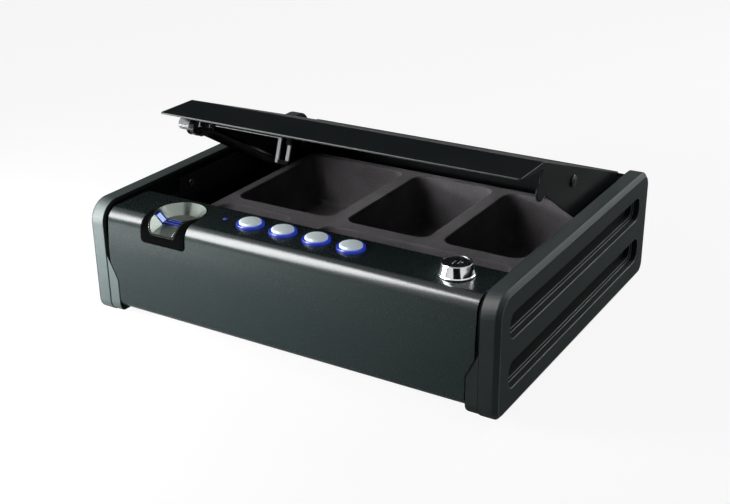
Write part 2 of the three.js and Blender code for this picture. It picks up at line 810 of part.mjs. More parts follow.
// Status lamp, buttons and their glow rings
place('status_lamp', rodZ(lampX, buttonY, lampRadius, wallBottom - overrun, lampTop, smallSides), finishes.glow);
buttonXs.forEach((x, k) => {
  const flangeTop = wallBottom - gap;
  place(`button_ring_${k + 1}`, turned([[ringInner, flangeTop - ringFlangeThickness],
    [ringFlange, flangeTop - ringFlangeThickness], [ringFlange, flangeTop], [ringOuter, flangeTop],
    [ringOuter, ringTop - gap], [ringOuter - gap, ringTop], [ringInner, ringTop],
    [ringInner, flangeTop - ringFlangeThickness]], x, buttonY), finishes.glow);
  place(`button_${k + 1}`, turned([[0, buttonStemBottom], [buttonStemRadius, buttonStemBottom],
    [buttonStemRadius, buttonSkirtBottom], [buttonRadius, buttonSkirtBottom], [buttonRadius, buttonTop - buttonCrown],
    [buttonRadius - buttonCrown / 2, buttonTop - buttonCrown / 3], [buttonRadius - buttonCrown * 2, buttonTop],
    [0, buttonTop]], x, buttonY), finishes.button);
});

// Circuit board with its switches
const switchTop = buttonStemBottom - buttonTravel - gap;
place('circuit_board', join(
  block(boardLeft, boardRight, boardFront, boardBack, boardTop - boardThickness, boardTop),
  ...buttonXs.map((x) => block(x - switchSize / 2, x + switchSize / 2, buttonY - switchSize / 2,
    buttonY + switchSize / 2, boardTop - boardThickness / 2, switchTop)),
  rodZ(lampX, buttonY, lampRadius, boardTop - boardThickness / 2, wallBottom - overrun - gap, smallSides),
), finishes.board);

// Key lock
place('lock_ring', turned([[lockBore, housingTop + gap], [lockFlangeRadius, housingTop + gap],
  [lockFlangeRadius, housingTop + gap + lockFlangeThickness], [lockBaseRadius, housingTop + gap + lockFlangeThickness],
  [lockFaceRadius, lockTop - gap], [lockFaceRadius - gap, lockTop], [lockBore + gap * 2, lockTop],
  [lockBore, lockTop - gap * 2], [lockBore, housingTop + gap]], lockX, lockY), finishes.chrome);
place('lock_barrel', turned([[lockBore, barrelBottom], [barrelRadius, barrelBottom], [barrelRadius, housingTop],
  [lockBore, housingTop], [lockBore, barrelBottom]], lockX, lockY), finishes.brass);
const nutSides = 6;
place('lock_nut', cut(rodZ(lockX, lockY, nutRadius, wallBottom - gap - nutThickness, wallBottom - gap, nutSides),
  rodZ(lockX, lockY, barrelRadius + gap, wallBottom - gap - nutThickness - overrun, wallBottom)), finishes.brass);

const camTop = barTop + gap + camThickness;
const camAngle = THREE.MathUtils.degToRad(camRestAngle);
const camPin = [lockX - camArm * Math.sin(camAngle), lockY + camArm * Math.cos(camAngle)];
place('lock_plug', cut(rodZ(lockX, lockY, plugRadius, camTop + gap, plugTop),
  block(lockX - keySlotWidth / 2, lockX + keySlotWidth / 2, lockY - keySlotLength / 2, lockY + keySlotLength / 2,
    plugTop - keySlotDepth, plugTop + overrun)), finishes.black);
place('lock_cam', join(
  rodZ(lockX, lockY, camHubRadius, barTop + gap, camTop),
  slabZ(slotOutline(lockX, lockY, camPin[0], camPin[1], pinRadius * 2), barTop + gap, camTop),
  rodZ(camPin[0], camPin[1], pinRadius, barTop - barThickness, camTop, smallSides),
), finishes.zinc);

// Latch bolt in one piece with its drive pin and plunger, its tip sloped on top
const boltLow = boltZ - boltHeight / 2;
const boltHigh = boltZ + boltHeight / 2;
const boltProfile = [point(boltShoulder, boltLow), point(boltTip, boltLow), point(boltTip, boltLow + boltHeight / 3),
  point(boltTip - boltHeight * 2 / 3, boltHigh), point(boltShoulder, boltHigh)];
place('latch_bolt', join(
  slabX(boltProfile, latchX - boltWidth / 2, latchX + boltWidth / 2),
  rodZ(latchX, pinY, pinRadius, barTop - barThickness, boltZ, smallSides),
  rodY(latchX, boltZ, plungerRadius, plungerFront, boltShoulder + boltHeight / 2, smallSides),
), finishes.zinc);

// Solenoid behind the bolt, bored for the plunger
place('solenoid', cut(
  block(latchX - solenoidHalf, latchX + solenoidHalf, solenoidFront, solenoidBack, boltZ - solenoidHeight / 2,
    boltZ + solenoidHeight / 2),
  rodY(latchX, boltZ, plungerRadius + gap, plungerFront - boltTravel - gap * 2, solenoidBack + overrun, smallSides),
), finishes.black);

// Return spring round the plunger, one unbroken coil
function returnSpring() {
  const start = solenoidBack + gap + coilWire;
  const run = boltShoulder - gap - coilWire - start;
  const steps = coilTurns * coilSteps;
  const rings = [];
  for (let k = 0; k <= steps; k += 1) {
    const angle = (2 * Math.PI * k) / coilSteps;
    const middle = point3(latchX + coilRadius * Math.cos(angle), start + (run * k) / steps,
      boltZ + coilRadius * Math.sin(angle));
    const outward = point3(Math.cos(angle), 0, Math.sin(angle));
    for (let s = 0; s < coilSides; s += 1) {
      const turn = (2 * Math.PI * s) / coilSides;
      rings.push(middle.clone().addScaledVector(outward, coilWire * Math.cos(turn))
        .add(point3(0, coilWire * Math.sin(turn), 0)));
    }
  }
  const index = [];
  for (let k = 0; k < steps; k += 1) {
    for (let s = 0; s < coilSides; s += 1) {
      const a = k * coilSides + s;
      const b = k * coilSides + ((s + 1) % coilSides);
      index.push(a, b, b + coilSides, a, b + coilSides, a + coilSides);
    }
  }
  const last = steps * coilSides;
  for (let s = 1; s + 1 < coilSides; s += 1) {
    index.push(0, s + 1, s, last, last + s, last + s + 1);
  }
  const geometry = new THREE.BufferGeometry().setFromPoints(rings);
  geometry.setIndex(index);
  return solid(geometry);
}
place('latch_spring', returnSpring(), finishes.zinc);

// Bridge that guides the bolt, standing on the box's front wall
const bridgeTop = boltZ + boltHeight / 2 + gap + frameThickness;
place('latch_bridge', join(
  ...[-1, 1].map((side) => {
    const inner = side * (frameHalf - frameThickness);
    const [x0, x1] = [Math.min(inner, side * frameHalf), Math.max(inner, side * frameHalf)];
    return block(latchX + x0, latchX + x1, frameFront, boxFrontY - gap, barTop + gap, bridgeTop);
  }),
  block(latchX - frameHalf, latchX + frameHalf, frameFront, boxFrontY - gap, bridgeTop - frameThickness, bridgeTop),
), finishes.zinc);

// Release bar that the key's cam pushes sideways and whose slanted slot draws the bolt back
const camSwing = 2 * camArm * Math.sin(camAngle);
place('release_bar', cut(
  block(latchX - barLeftOfLatch, camPin[0] + pinRadius * 3, barFront, barBack, barTop - barThickness, barTop),
  slabZ(slotOutline(latchX, pinY, latchX - camSwing, pinY - boltTravel, pinRadius + slotClear),
    barTop - barThickness - overrun, barTop + overrun),
  slabZ(slotOutline(camPin[0], camPin[1] - gap, camPin[0], lockY + camArm + gap, pinRadius + slotClear),
    barTop - barThickness - overrun, barTop + overrun),
), finishes.zinc);

// Battery holder with four cells, and its door on the box side
const cellY = boxFrontY - gap - cellRadius - gap;
const cellRows = [holderBottom + holderWall + cellRowPitch / 2, holderBottom + holderWall + cellRowPitch * 1.5];
place('battery_holder', cut(
  block(holderX - holderHalf, holderX + holderHalf, cellY - cellRadius - gap - holderWall, boxFrontY - gap,
    holderBottom, holderTop),
  ...cellRows.map((z) => slabY(rectangle(holderX - windowHalf, holderX + windowHalf,
    z - cellRadius - gap, z + cellRadius + gap), cellY - cellRadius - gap, boxFrontY + overrun)),
), finishes.holder);
let cellNumber = 0;
cellRows.forEach((z) => {
  [-1, 1].forEach((side) => {
    cellNumber += 1;
    const start = holderX + (side > 0 ? gap : -cellLength - gap);
    place(`battery_${cellNumber}`, join(
      rodX(cellY, z, cellRadius, start, start + cellLength - cellNipple, smallSides + 4),
      rodX(cellY, z, cellNippleRadius, start + cellLength - cellNipple * 2, start + cellLength, smallSides),
    ), finishes.cell);
  });
});
place('battery_door', join(
  block(holderX - doorHalf, holderX + doorHalf, doorY, doorY + doorThickness, doorBottom, doorTop),
  block(holderX - doorGrip / 2, holderX + doorGrip / 2, doorY + doorThickness / 2, doorY + doorThickness * 2,
    doorTop - doorThickness, doorTop),
), finishes.holder);

// Wall screws that hold the end panels to the box
wallScrews.forEach(([side, y]) => {
  const name = `wall_screw_${side < 0 ? 'left' : 'right'}_${y === screwY ? 'front' : 'rear'}`;
  const head = rodX(y, screwZ, screwHeadRadius, boxInnerX - screwHead, boxInnerX, smallSides);
  const shank = rodX(y, screwZ, screwShank, boxInnerX - screwHead / 2, panelInnerX + screwDepth - gap * 2, smallSides);
  const body = join(head, shank);
  place(name, side > 0 ? body : body.mirror([1, 0, 0]), finishes.zinc);
});

// Hinge pins with a shoulder between the wall and the lid's arm
const armInner = armOuter - armThickness;
[-1, 1].forEach((side) => {
  const headX = armInner - gap * 2 - armPlate - hingeHeadThickness;
  const body = join(
    rodX(hingeY, hingeZ, hingeHeadRadius, headX, headX + hingeHeadThickness),
    rodX(hingeY, hingeZ, hingePinRadius, headX, panelInnerX - gap, smallSides + 4),
    rodX(hingeY, hingeZ, hingeHeadRadius, armOuter + gap, boxInnerX - gap),
  );
  place(`hinge_pin_${side < 0 ? 'left' : 'right'}`, side > 0 ? body : body.mirror([1, 0, 0]), finishes.zinc);
});

// The lid group turns about the hinge line; inside it, the lid is drawn closed.
const lid = new THREE.Group();
lid.position.set(0, hingeY, hingeZ);
lid.rotation.x = -THREE.MathUtils.degToRad(lidOpenAngle);
const lidFrame = new THREE.Group();
lidFrame.position.set(0, -hingeY, -hingeZ);
lid.add(lidFrame);
safe.add(lid);

const foldSlope = (lidTop - lidEdgeZ) / (lidFoldY - lidEdgeY);
const foldAngle = Math.atan(foldSlope);
const skinDrop = steel / Math.cos(foldAngle);
const foldIn = steel * Math.tan(foldAngle / 2);
const lidProfile = [
  point(lidEdgeY, lidEdgeZ - lidHem), point(lidEdgeY + steel, lidEdgeZ - lidHem),
  point(lidEdgeY + steel, lidEdgeZ + foldSlope * steel - skinDrop), point(lidFoldY + foldIn, lidTop - steel),
  point(lidBackY, lidTop - steel), point(lidBackY, lidTop), point(lidFoldY, lidTop), point(lidEdgeY, lidEdgeZ),
];
const lipProfile = [
  point(lidEdgeY, lidEdgeZ - lidHem), point(lidFoldY + foldIn, lidTop - lidLip), point(lidBackY, lidTop - lidLip),
  point(lidBackY, lidTop), point(lidFoldY, lidTop), point(lidEdgeY, lidEdgeZ),
];
const armProfile = roundedOutline([
  [armFrontY, lidTop - steel / 2, 0], [armFrontY, armFrontZ, armNose], [armLowY, armLowZ, armHeel],
  [hingeY + armLobe * Math.sin(foldAngle), hingeZ - armLobe * Math.cos(foldAngle), 0],
  [hingeY + armLobe, hingeZ, 0], [lidBackY - steel, lidTop - steel / 2, 0],
]);

function lidShell() {
  let body = slabX(lidProfile, -lidHalf, lidHalf);
  [-1, 1].forEach((side) => {
    const [l0, l1] = side > 0 ? [lidHalf - steel, lidHalf] : [-lidHalf, -lidHalf + steel];
    const [a0, a1] = side > 0 ? [armInner, armOuter] : [-armOuter, -armInner];
    body = join(body, slabX(lipProfile, l0, l1), slabX(armProfile, a0, a1),
      rodX(hingeY, hingeZ, armLobe, a0, a1), rodX(stayLidY, stayLidZ, armTip, a0, a1));
    body = cut(body, rodX(hingeY, hingeZ, hingePinRadius + gap, a0 - overrun, a1 + overrun, smallSides + 4),
      rodX(rivetY, rivetZ, rivetShank + gap, a0 - overrun, a1 + gap, smallSides));
  });
  const plan = roundedOutline([[-lidHalf, lidEdgeY, lidCorner], [lidHalf, lidEdgeY, lidCorner],
    [lidHalf, safeDepth, 0], [-lidHalf, safeDepth, 0]]);
  return body.intersect(slabZ(plan, 0, panelHeight));
}
place('lid_shell', lidShell(), finishes.lid, lidFrame);

// Inner pan that stiffens the lid, open towards the lid's skin
const panTop = lidTop - steel - gap;
place('lid_inner_pan', cut(
  slabZ(rectangle(-panHalf, panHalf, panFrontY, panBackY, panRadius), panTop - panDepth, panTop),
  slabZ(rectangle(-panHalf + panWall, panHalf - panWall, panFrontY + panWall, panBackY - panWall,
    panRadius - panWall), panTop - panDepth + panWall, panTop + overrun),
), finishes.lid, lidFrame);

// Guide rivets on the outside of the lid's arms
[-1, 1].forEach((side) => {
  const seat = armOuter + gap;
  const body = join(
    rodX(rivetY, rivetZ, rivetRadius, seat, seat + rivetHead / 2, smallSides + 4),
    solid(stack([
      { outline: circle(rivetY, rivetZ, rivetRadius, smallSides + 4), level: seat + rivetHead / 2 },
      { outline: circle(rivetY, rivetZ, rivetRadius / 2, smallSides + 4), level: seat + rivetHead },
    ]), 'x'),
    rodX(rivetY, rivetZ, rivetShank, armInner, seat + rivetHead / 2, smallSides),
  );
  place(`arm_rivet_${side < 0 ? 'left' : 'right'}`, side > 0 ? body : body.mirror([1, 0, 0]), finishes.zinc, lidFrame);
});

// Plated hinge arms on the inside of the lid's arms, each with three folded tabs
[-1, 1].forEach((side) => {
  const x1 = armInner - gap;
  const x0 = x1 - armPlate;
  const tab = (start, low, high) => block(x0 - tabReach, x0 + armPlate / 2, hingeY + start, hingeY + start + tabThickness,
    hingeZ + low, hingeZ + high);
  const body = cut(join(
    slabX(rectangle(hingeY - armPlateFront, hingeY + armPlateBack, hingeZ - armPlateBelow,
      hingeZ + armPlateAbove, armPlateRadius), x0, x1),
    tab(-armPlateFront + armPlateRadius / 2, tabBottom, frontTabTop),
    tab(-middleTabOffset, tabBottom, middleTabTop),
    tab(armPlateBack - tabThickness, backTabBottom, backTabTop - armPlateRadius),
  ), rodX(hingeY, hingeZ, hingePinRadius + gap, x0 - overrun, x1 + overrun, smallSides + 4));
  place(`hinge_arm_${side < 0 ? 'left' : 'right'}`, side > 0 ? body : body.mirror([1, 0, 0]), finishes.zinc, lidFrame);
});

// Striker under the lid's front: a loop that the bolt enters
function striker() {
  const y1 = strikerY + strikerThickness;
  const inner = strikerWindow / 2;
  const outer = inner + strikerLeg;
  return join(
    block(latchX - outer, latchX - inner, strikerY, y1, strikerBottom, strikerTop),
    block(latchX + inner, latchX + outer, strikerY, y1, strikerBottom, strikerTop),
    block(latchX - outer, latchX + outer, strikerY, y1, strikerBottom, strikerBottom + strikerBar),
    block(latchX - outer, latchX + outer, strikerY, y1, strikerTop - strikerBar, strikerTop),
  );
}
place('lid_striker', striker(), finishes.zinc, lidFrame);

// Gas stay, drawn along its own axis from the ball on the lid towards the ball on the box
const stay = new THREE.Group();
const rest = THREE.MathUtils.degToRad(lidOpenAngle);
const lidBall = point(
  hingeY + (stayLidY - hingeY) * Math.cos(rest) + (stayLidZ - hingeZ) * Math.sin(rest),
  hingeZ - (stayLidY - hingeY) * Math.sin(rest) + (stayLidZ - hingeZ) * Math.cos(rest),
);
const stayLength = Math.hypot(stayBoxY - lidBall.x, stayBoxZ - lidBall.y);
const staySlope = Math.atan2(stayBoxZ - lidBall.y, stayBoxY - lidBall.x);
stay.position.set(stayX, lidBall.x, lidBall.y);
stay.rotation.x = staySlope + THREE.MathUtils.degToRad(stayOffset);
safe.add(stay);
const half = stayEyeWidth / 2;

place('stay_tube', cut(
  join(
    rodX(0, 0, stayEyeOuter, -half, half),
    rodY(0, 0, stayRodRadius * 1.5, stayBallRadius + gap + stayRodRadius, stayTubeStart + stayRodRadius, smallSides),
    rodY(0, 0, stayTubeRadius, stayTubeStart, stayTubeStart + stayTubeLength, smallSides + 4),
  ),
  rodX(0, 0, stayBallRadius + gap, -half - overrun, half + overrun),
  rodY(0, 0, stayBoreRadius, stayTubeStart + stayTubeLength - stayBoreDepth,
    stayTubeStart + stayTubeLength + overrun, smallSides),
), finishes.stay, stay);
place('stay_rod', cut(
  join(
    rodX(stayLength, 0, stayFootEyeOuter, -half, half),
    rodY(0, 0, stayRodRadius, stayRodStart, stayLength - stayFootBore - stayRodRadius / 2, smallSides),
  ),
  rodX(stayLength, 0, stayFootBore, -half - overrun, half + overrun),
), finishes.chrome, stay);

// Ball studs of the stay: one on the lid's arm, one on the floor bracket
const studX0 = -armInner + gap;
const studX1 = stayX + half;
place('stay_stud_lid', join(
  rodX(stayLidY, stayLidZ, stayBase, studX0, studX0 + stayBaseThickness, smallSides + 4),
  rodX(stayLidY, stayLidZ, stayBallRadius, studX0, studX1, smallSides + 4),
), finishes.chrome, lidFrame);
const bracketX = -armInner + gap;
place('stay_bracket', join(
  block(bracketX, bracketX + steel, stayBoxY - bracketHalf, stayBoxY + bracketHalf, boxFloorTop, stayBoxZ + stayBase),
  block(bracketX, bracketX + bracketFoot, stayBoxY - bracketHalf, stayBoxY + bracketHalf, boxFloorTop, boxFloorTop + steel),
  rodX(stayBoxY, stayBoxZ, stayFootBall, bracketX + steel / 2, studX1, smallSides),
), finishes.zinc);

// Lift-out tray: thin moulded cups hung from one rim plate
const trayBottom = boxFloorTop + matThickness + gap;
const trayWidth = trayHalf * 2;
const trayRun = trayBack - trayFront;
const cupShares = [
  [0.026, 0.37, 0.32, 0.965], [0.412, 0.683, 0.32, 0.965], [0.724, 0.974, 0.32, 0.965],
  [0.026, 0.276, 0.035, 0.262], [0.386, 0.974, 0.035, 0.262],
];
function cup(shares, grow) {
  const [u0, u1, v0, v1] = shares;
  const [x0, x1] = [-trayHalf + u0 * trayWidth, -trayHalf + u1 * trayWidth];
  const [y0, y1] = [trayFront + v0 * trayRun, trayFront + v1 * trayRun];
  const ring = (inset, level) => ({
    outline: rectangle(x0 + inset - grow, x1 - inset + grow, y0 + inset - grow, y1 - inset + grow,
      trayCorner - inset / 2 + grow),
    level,
  });
  const floor = trayBottom + traySkin - grow;
  const mouth = grow ? trayTop : trayTop + overrun;
  return solid(stack([
    ring(trayDraft + trayFloorFillet, floor), ring(trayDraft, floor + trayFloorFillet),
    ring(traySkin / 2, trayTop - traySkin), ring(0, mouth),
  ]));
}
function tray() {
  const rim = slabZ(rectangle(-trayHalf, trayHalf, trayFront, trayBack, trayOuterCorner), trayTop - traySkin, trayTop);
  const skirt = cut(
    slabZ(rectangle(-trayHalf, trayHalf, trayFront, trayBack, trayOuterCorner), trayTop - traySkin * 4, trayTop),
    slabZ(rectangle(-trayHalf + traySkin, trayHalf - traySkin, trayFront + traySkin, trayBack - traySkin,
      trayOuterCorner - traySkin), trayTop - traySkin * 4 - overrun, trayTop - traySkin / 2),
  );
  return cut(join(rim, skirt, ...cupShares.map((shares) => cup(shares, traySkin))),
    ...cupShares.map((shares) => cup(shares, 0)));
}
place('tray', tray(), finishes.velour);

// Mat on the box's floor, under the tray
const matHalf = boxInnerX - matSideGap;
place('floor_mat', slabZ(rectangle(-matHalf, matHalf, boxFrontInner + matFrontGap, boxBackInner - matBackGap,
  trayCorner), boxFloorTop, boxFloorTop + matThickness), finishes.mat);

export default safe;
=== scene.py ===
"""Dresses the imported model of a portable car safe: its pieces, finishes, camera and light."""

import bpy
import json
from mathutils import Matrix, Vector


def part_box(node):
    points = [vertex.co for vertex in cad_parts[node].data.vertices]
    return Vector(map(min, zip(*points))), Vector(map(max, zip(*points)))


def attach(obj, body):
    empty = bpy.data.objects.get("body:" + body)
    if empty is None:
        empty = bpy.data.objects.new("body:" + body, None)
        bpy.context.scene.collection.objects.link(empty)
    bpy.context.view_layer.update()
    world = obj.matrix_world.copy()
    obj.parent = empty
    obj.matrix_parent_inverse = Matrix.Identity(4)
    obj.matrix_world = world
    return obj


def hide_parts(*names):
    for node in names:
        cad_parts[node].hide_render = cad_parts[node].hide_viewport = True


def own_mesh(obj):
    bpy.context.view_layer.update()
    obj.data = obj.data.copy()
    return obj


bl_info = {
    "name": "Portable Car Safe",
    "version": (1, 0, 0),
    "blender": (4, 5, 0),
    "location": "View3D > Sidebar > Car Safe",
    "description": "Models and finishes the pieces of a portable car safe on its packed frame",
    "category": "Object",
}

import json
import math

import bpy
from bpy.props import FloatProperty, FloatVectorProperty, IntProperty, PointerProperty
from bpy.types import Operator, Panel, PropertyGroup
from mathutils import Matrix, Vector

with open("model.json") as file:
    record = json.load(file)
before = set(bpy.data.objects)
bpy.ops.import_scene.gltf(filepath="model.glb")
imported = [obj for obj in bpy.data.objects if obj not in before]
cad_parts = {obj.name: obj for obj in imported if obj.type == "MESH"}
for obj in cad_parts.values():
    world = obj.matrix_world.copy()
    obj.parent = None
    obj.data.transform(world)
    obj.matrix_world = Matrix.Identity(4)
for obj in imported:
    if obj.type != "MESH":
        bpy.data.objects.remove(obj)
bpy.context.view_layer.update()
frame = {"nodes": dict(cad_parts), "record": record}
nodes = frame["nodes"]

BODY_OF = {
    node: body
    for body, members in frame["record"]["behaviour"]["bodies"].items()
    for node in members
}
SLOT_OF = {part["node"]: part["material_slot"] for part in frame["record"]["subparts"]}

# Where the part's source lies in the scene and its lid's hinge, in millimetres, and its lean

HALF_DEPTH = 125.0
FEET_HEIGHT = 2.6
LID_HINGE = (229.4, 56.0)
LID_LEAN = math.radians(19.9)

# How faces are told apart by their normals, and what counts as one point or one plane

FACING = 0.9
ASIDE = 0.3
MERGED_WITHIN = 0.000002
FLAT_WITHIN = math.radians(0.6)

# End panels: levels across the safe in metres, grooves in the source's millimetres

PANEL_FACE = 0.1535
PANEL_SHELF = 0.1491
POCKET_FLOOR = 0.1449
FACE_SKIN = 0.0003
FACE_EDGE = 0.0006
# Painted highlight: the width and normal slant of the edge faces that get a lighter glint line
GLINT_LINE_WIDTH = 0.0004
GLINT_SLANT_IN_GROOVE = (0.15, 0.97)
GLINT_SLANT_ON_FACE = (0.86, 0.985)
GROOVES_START = (0.0, 13.0, 12.0)
GROOVES_END = (0.0, 237.0, 68.0)
SEAM_INSET = 0.0030
SEAM_REACH = 0.0045

# Finger reader: places in the source's millimetres, the tile's own sizes in metres

DISH_RIM = (0.0, 12.4, 77.55)
DISH_LIP = (0.0, 12.4, 72.5)
DISH_LIP_LEAN = 0.25
DISH_LIP_UNDERSIDE = -0.2
STRIP_LOW, STRIP_HIGH = (-98.6, 13.1, 70.6), (-83.4, 21.2, 71.3)
STRIP_LINES = (14.7, 18.2, 20.6)
LINE_HALF = 0.22
LINE_LEVEL = (0.0, 0.0, 71.25)
LINE_RISE = 0.00012
TILE_SIZE = Vector((0.0024, 0.0076, 0.0086))
TILE_FRAME = 0.0012
TILE_GROOVE = (0.0003, 0.0002)
TILE_MARGIN = 0.00005
TILE_PLACE = (-102.35, 15.6, 73.7)
TILE_TURN, TILE_LEAN = math.radians(14.0), math.radians(-41.8)

# Buttons, lamp and feet: each step's inset, or share of the radius, and its distance from the end

BUTTON_STEM = 0.0020
BUTTON_SKIRT = ((0.0003, 0.0055), (0.0, 0.0052))
BUTTON_CROWN = (
    (0.0, 0.0012),
    (0.0002, 0.0008),
    (0.0006, 0.00052),
    (0.0012, 0.00036),
    (0.0026, 0.00018),
    (0.0045, 0.00004),
)
BUTTON_MIDDLE = 0.0010
LAMP_CROWN_SHARES = ((1.0, 0.0004), (0.92, 0.0002), (0.7, 0.00006), (0.35, 0.0))
FOOT_SOLE = ((0.0012, 0.0), (0.0006, 0.00005), (0.0002, 0.0004), (0.0, 0.0009))

# Key lock: its ring's top face in metres, the worn lips and the pin by the slot in millimetres

RING_FACING, RING_TOP = 0.95, 0.0003
KEY_LIP_GAP = 0.05
KEY_LIP_SUNK, KEY_LIP_PROUD = 0.3, 0.22
LEFT_KEY_LIP = (0.9, -2.9, 1.6)
RIGHT_KEY_LIP = (0.8, -1.2, 2.9)
KEY_PIN = (1.6, 2.6, 0.9, 1.9)

# Striker and stud group, in millimetres, as they stand on the closed lid

STRIKER_TRIMS = (
    ("striker_sleeve", (-37.6, 51.4, 48.6), (-29.3, 54.1, 51.2), "rubber"),
    ("striker_clip", (-33.0, 51.4, 61.6), (-29.3, 54.1, 65.9), "rubber"),
    ("striker_head", (-41.2, 51.3, 65.7), (-28.8, 54.2, 68.9), "rubber"),
    ("striker_strip", (-92.0, 52.0, 65.0), (-37.9, 53.2, 65.7), "zinc"),
)
STUD_AXIS = (71.0, 62.4)
STUD_PROFILE = ((3.6, -135.9), (4.1, -135.5), (4.2, -134.8), (4.2, -125.4), (3.8, -125.0))
NOSE_AXIS = (71.0, 61.4)
NOSE_PROFILE = ((4.8, -125.8), (5.2, -125.4), (5.2, -121.4), (4.8, -121.0))
LUG_LOW, LUG_HIGH = (-125.2, 71.0, 56.2), (-121.0, 90.0, 66.6)
SHIM_LEFT, SHIM_RIGHT = -122.0, -120.4
SHIMS = (("front_shim", 73.4, 64.0, 2.0, 2.6), ("rear_shim", 86.0, 63.4, 2.6, 1.5))

# Inner works whose edges are softened

SOFTENED_INSIDE = (
    "battery_holder",
    "battery_door",
    "latch_bolt",
    "release_bar",
    "latch_bridge",
)

LARGEST_LENGTH = 0.01
PLAIN_BLACK = (0.012, 0.012, 0.013)


# Sizes and colours that a user would change


def colour_property(name, description, default):
    return FloatVectorProperty(
        name=name,
        description=description,
        subtype="COLOR",
        size=3,
        min=0.0,
        max=1.0,
        default=default,
    )


def length_property(name, description, default):
    return FloatProperty(
        name=name,
        description=description,
        subtype="DISTANCE",
        unit="LENGTH",
        min=0.0,
        max=LARGEST_LENGTH,
        precision=5,
        default=default,
    )


class SafeSizes(PropertyGroup):
    """Roundings and small widths of the pieces"""

    moulded_edge: length_property(
        "Moulded Edge", "Rounding of the moulded pieces' edges", 0.0006
    )
    panel_edge: length_property(
        "Panel Edge", "Rounding of the end panels' edges", 0.0004
    )
    sheet_edge: length_property(
        "Sheet Edge", "Rounding of the folded sheet's edges", 0.00035
    )
    fine_edge: length_property(
        "Fine Edge", "Rounding of the small pieces' edges", 0.0002
    )
    tray_edge: length_property(
        "Tray Edge", "Rounding of the velour tray's rims", 0.0007
    )
    seam_width: length_property(
        "Seam Width", "Width of the line round each end panel's face", 0.0004
    )
    seam_depth: length_property(
        "Seam Depth", "Depth of the line round each end panel's face", 0.0003
    )
    key_slot_width: length_property(
        "Key Slot Width", "Width of the slot in the lock's face", 0.0017
    )
    round_sides: IntProperty(
        name="Round Sides",
        description="Facets round a turned piece",
        min=12,
        max=128,
        default=64,
    )


class SafeColours(PropertyGroup):
    """Base colours of the finishes"""

    panel: colour_property(
        "End Panels", "Moulded plastic of the end panels", (0.048, 0.066, 0.065)
    )
    housing: colour_property(
        "Housing", "Satin paint of the control housing", (0.0195, 0.031, 0.031)
    )
    steel: colour_property(
        "Steel Box", "Powder coat of the inner box", (0.008, 0.011, 0.012)
    )
    lid: colour_property("Lid", "Powder coat of the lid", (0.009, 0.013, 0.014))
    bezel: colour_property("Bezel", "Dark plastic round the dish", (0.005, 0.006, 0.006))
    dish: colour_property("Dish", "Satin metal dish of the reader", (0.36, 0.41, 0.37))
    button: colour_property("Buttons", "Frosted button caps", (0.68, 0.76, 0.77))
    light: colour_property("Lights", "Blue of the lit rings and bars", (0.012, 0.035, 0.50))
    velour: colour_property("Velour", "Skin of the lift-out tray", (0.14, 0.13, 0.137))
    stay: colour_property("Stay", "Enamel of the gas stay", PLAIN_BLACK)


# Shader values and nodes


class Value:
    """One shader socket that can stand in a sum, a product or a comparison."""

    def __init__(self, finish, socket):
        self.finish = finish
        self.socket = socket

    def _math(self, operation, *terms, clamp=False):
        return self.finish.node(
            "ShaderNodeMath", {"operation": operation, "use_clamp": clamp}, list(terms)
        )

    def __add__(self, other):
        return self._math("ADD", self, other)

    __radd__ = __add__

    def __sub__(self, other):
        return self._math("SUBTRACT", self, other)

    def __rsub__(self, other):
        return self._math("SUBTRACT", other, self)

    def __mul__(self, other):
        return self._math("MULTIPLY", self, other)

    __rmul__ = __mul__

    def __gt__(self, other):
        return self._math("GREATER_THAN", self, other)

    def held(self):
        """The value kept between 0 and 1."""
        return self._math("ADD", self, 0.0, clamp=True)


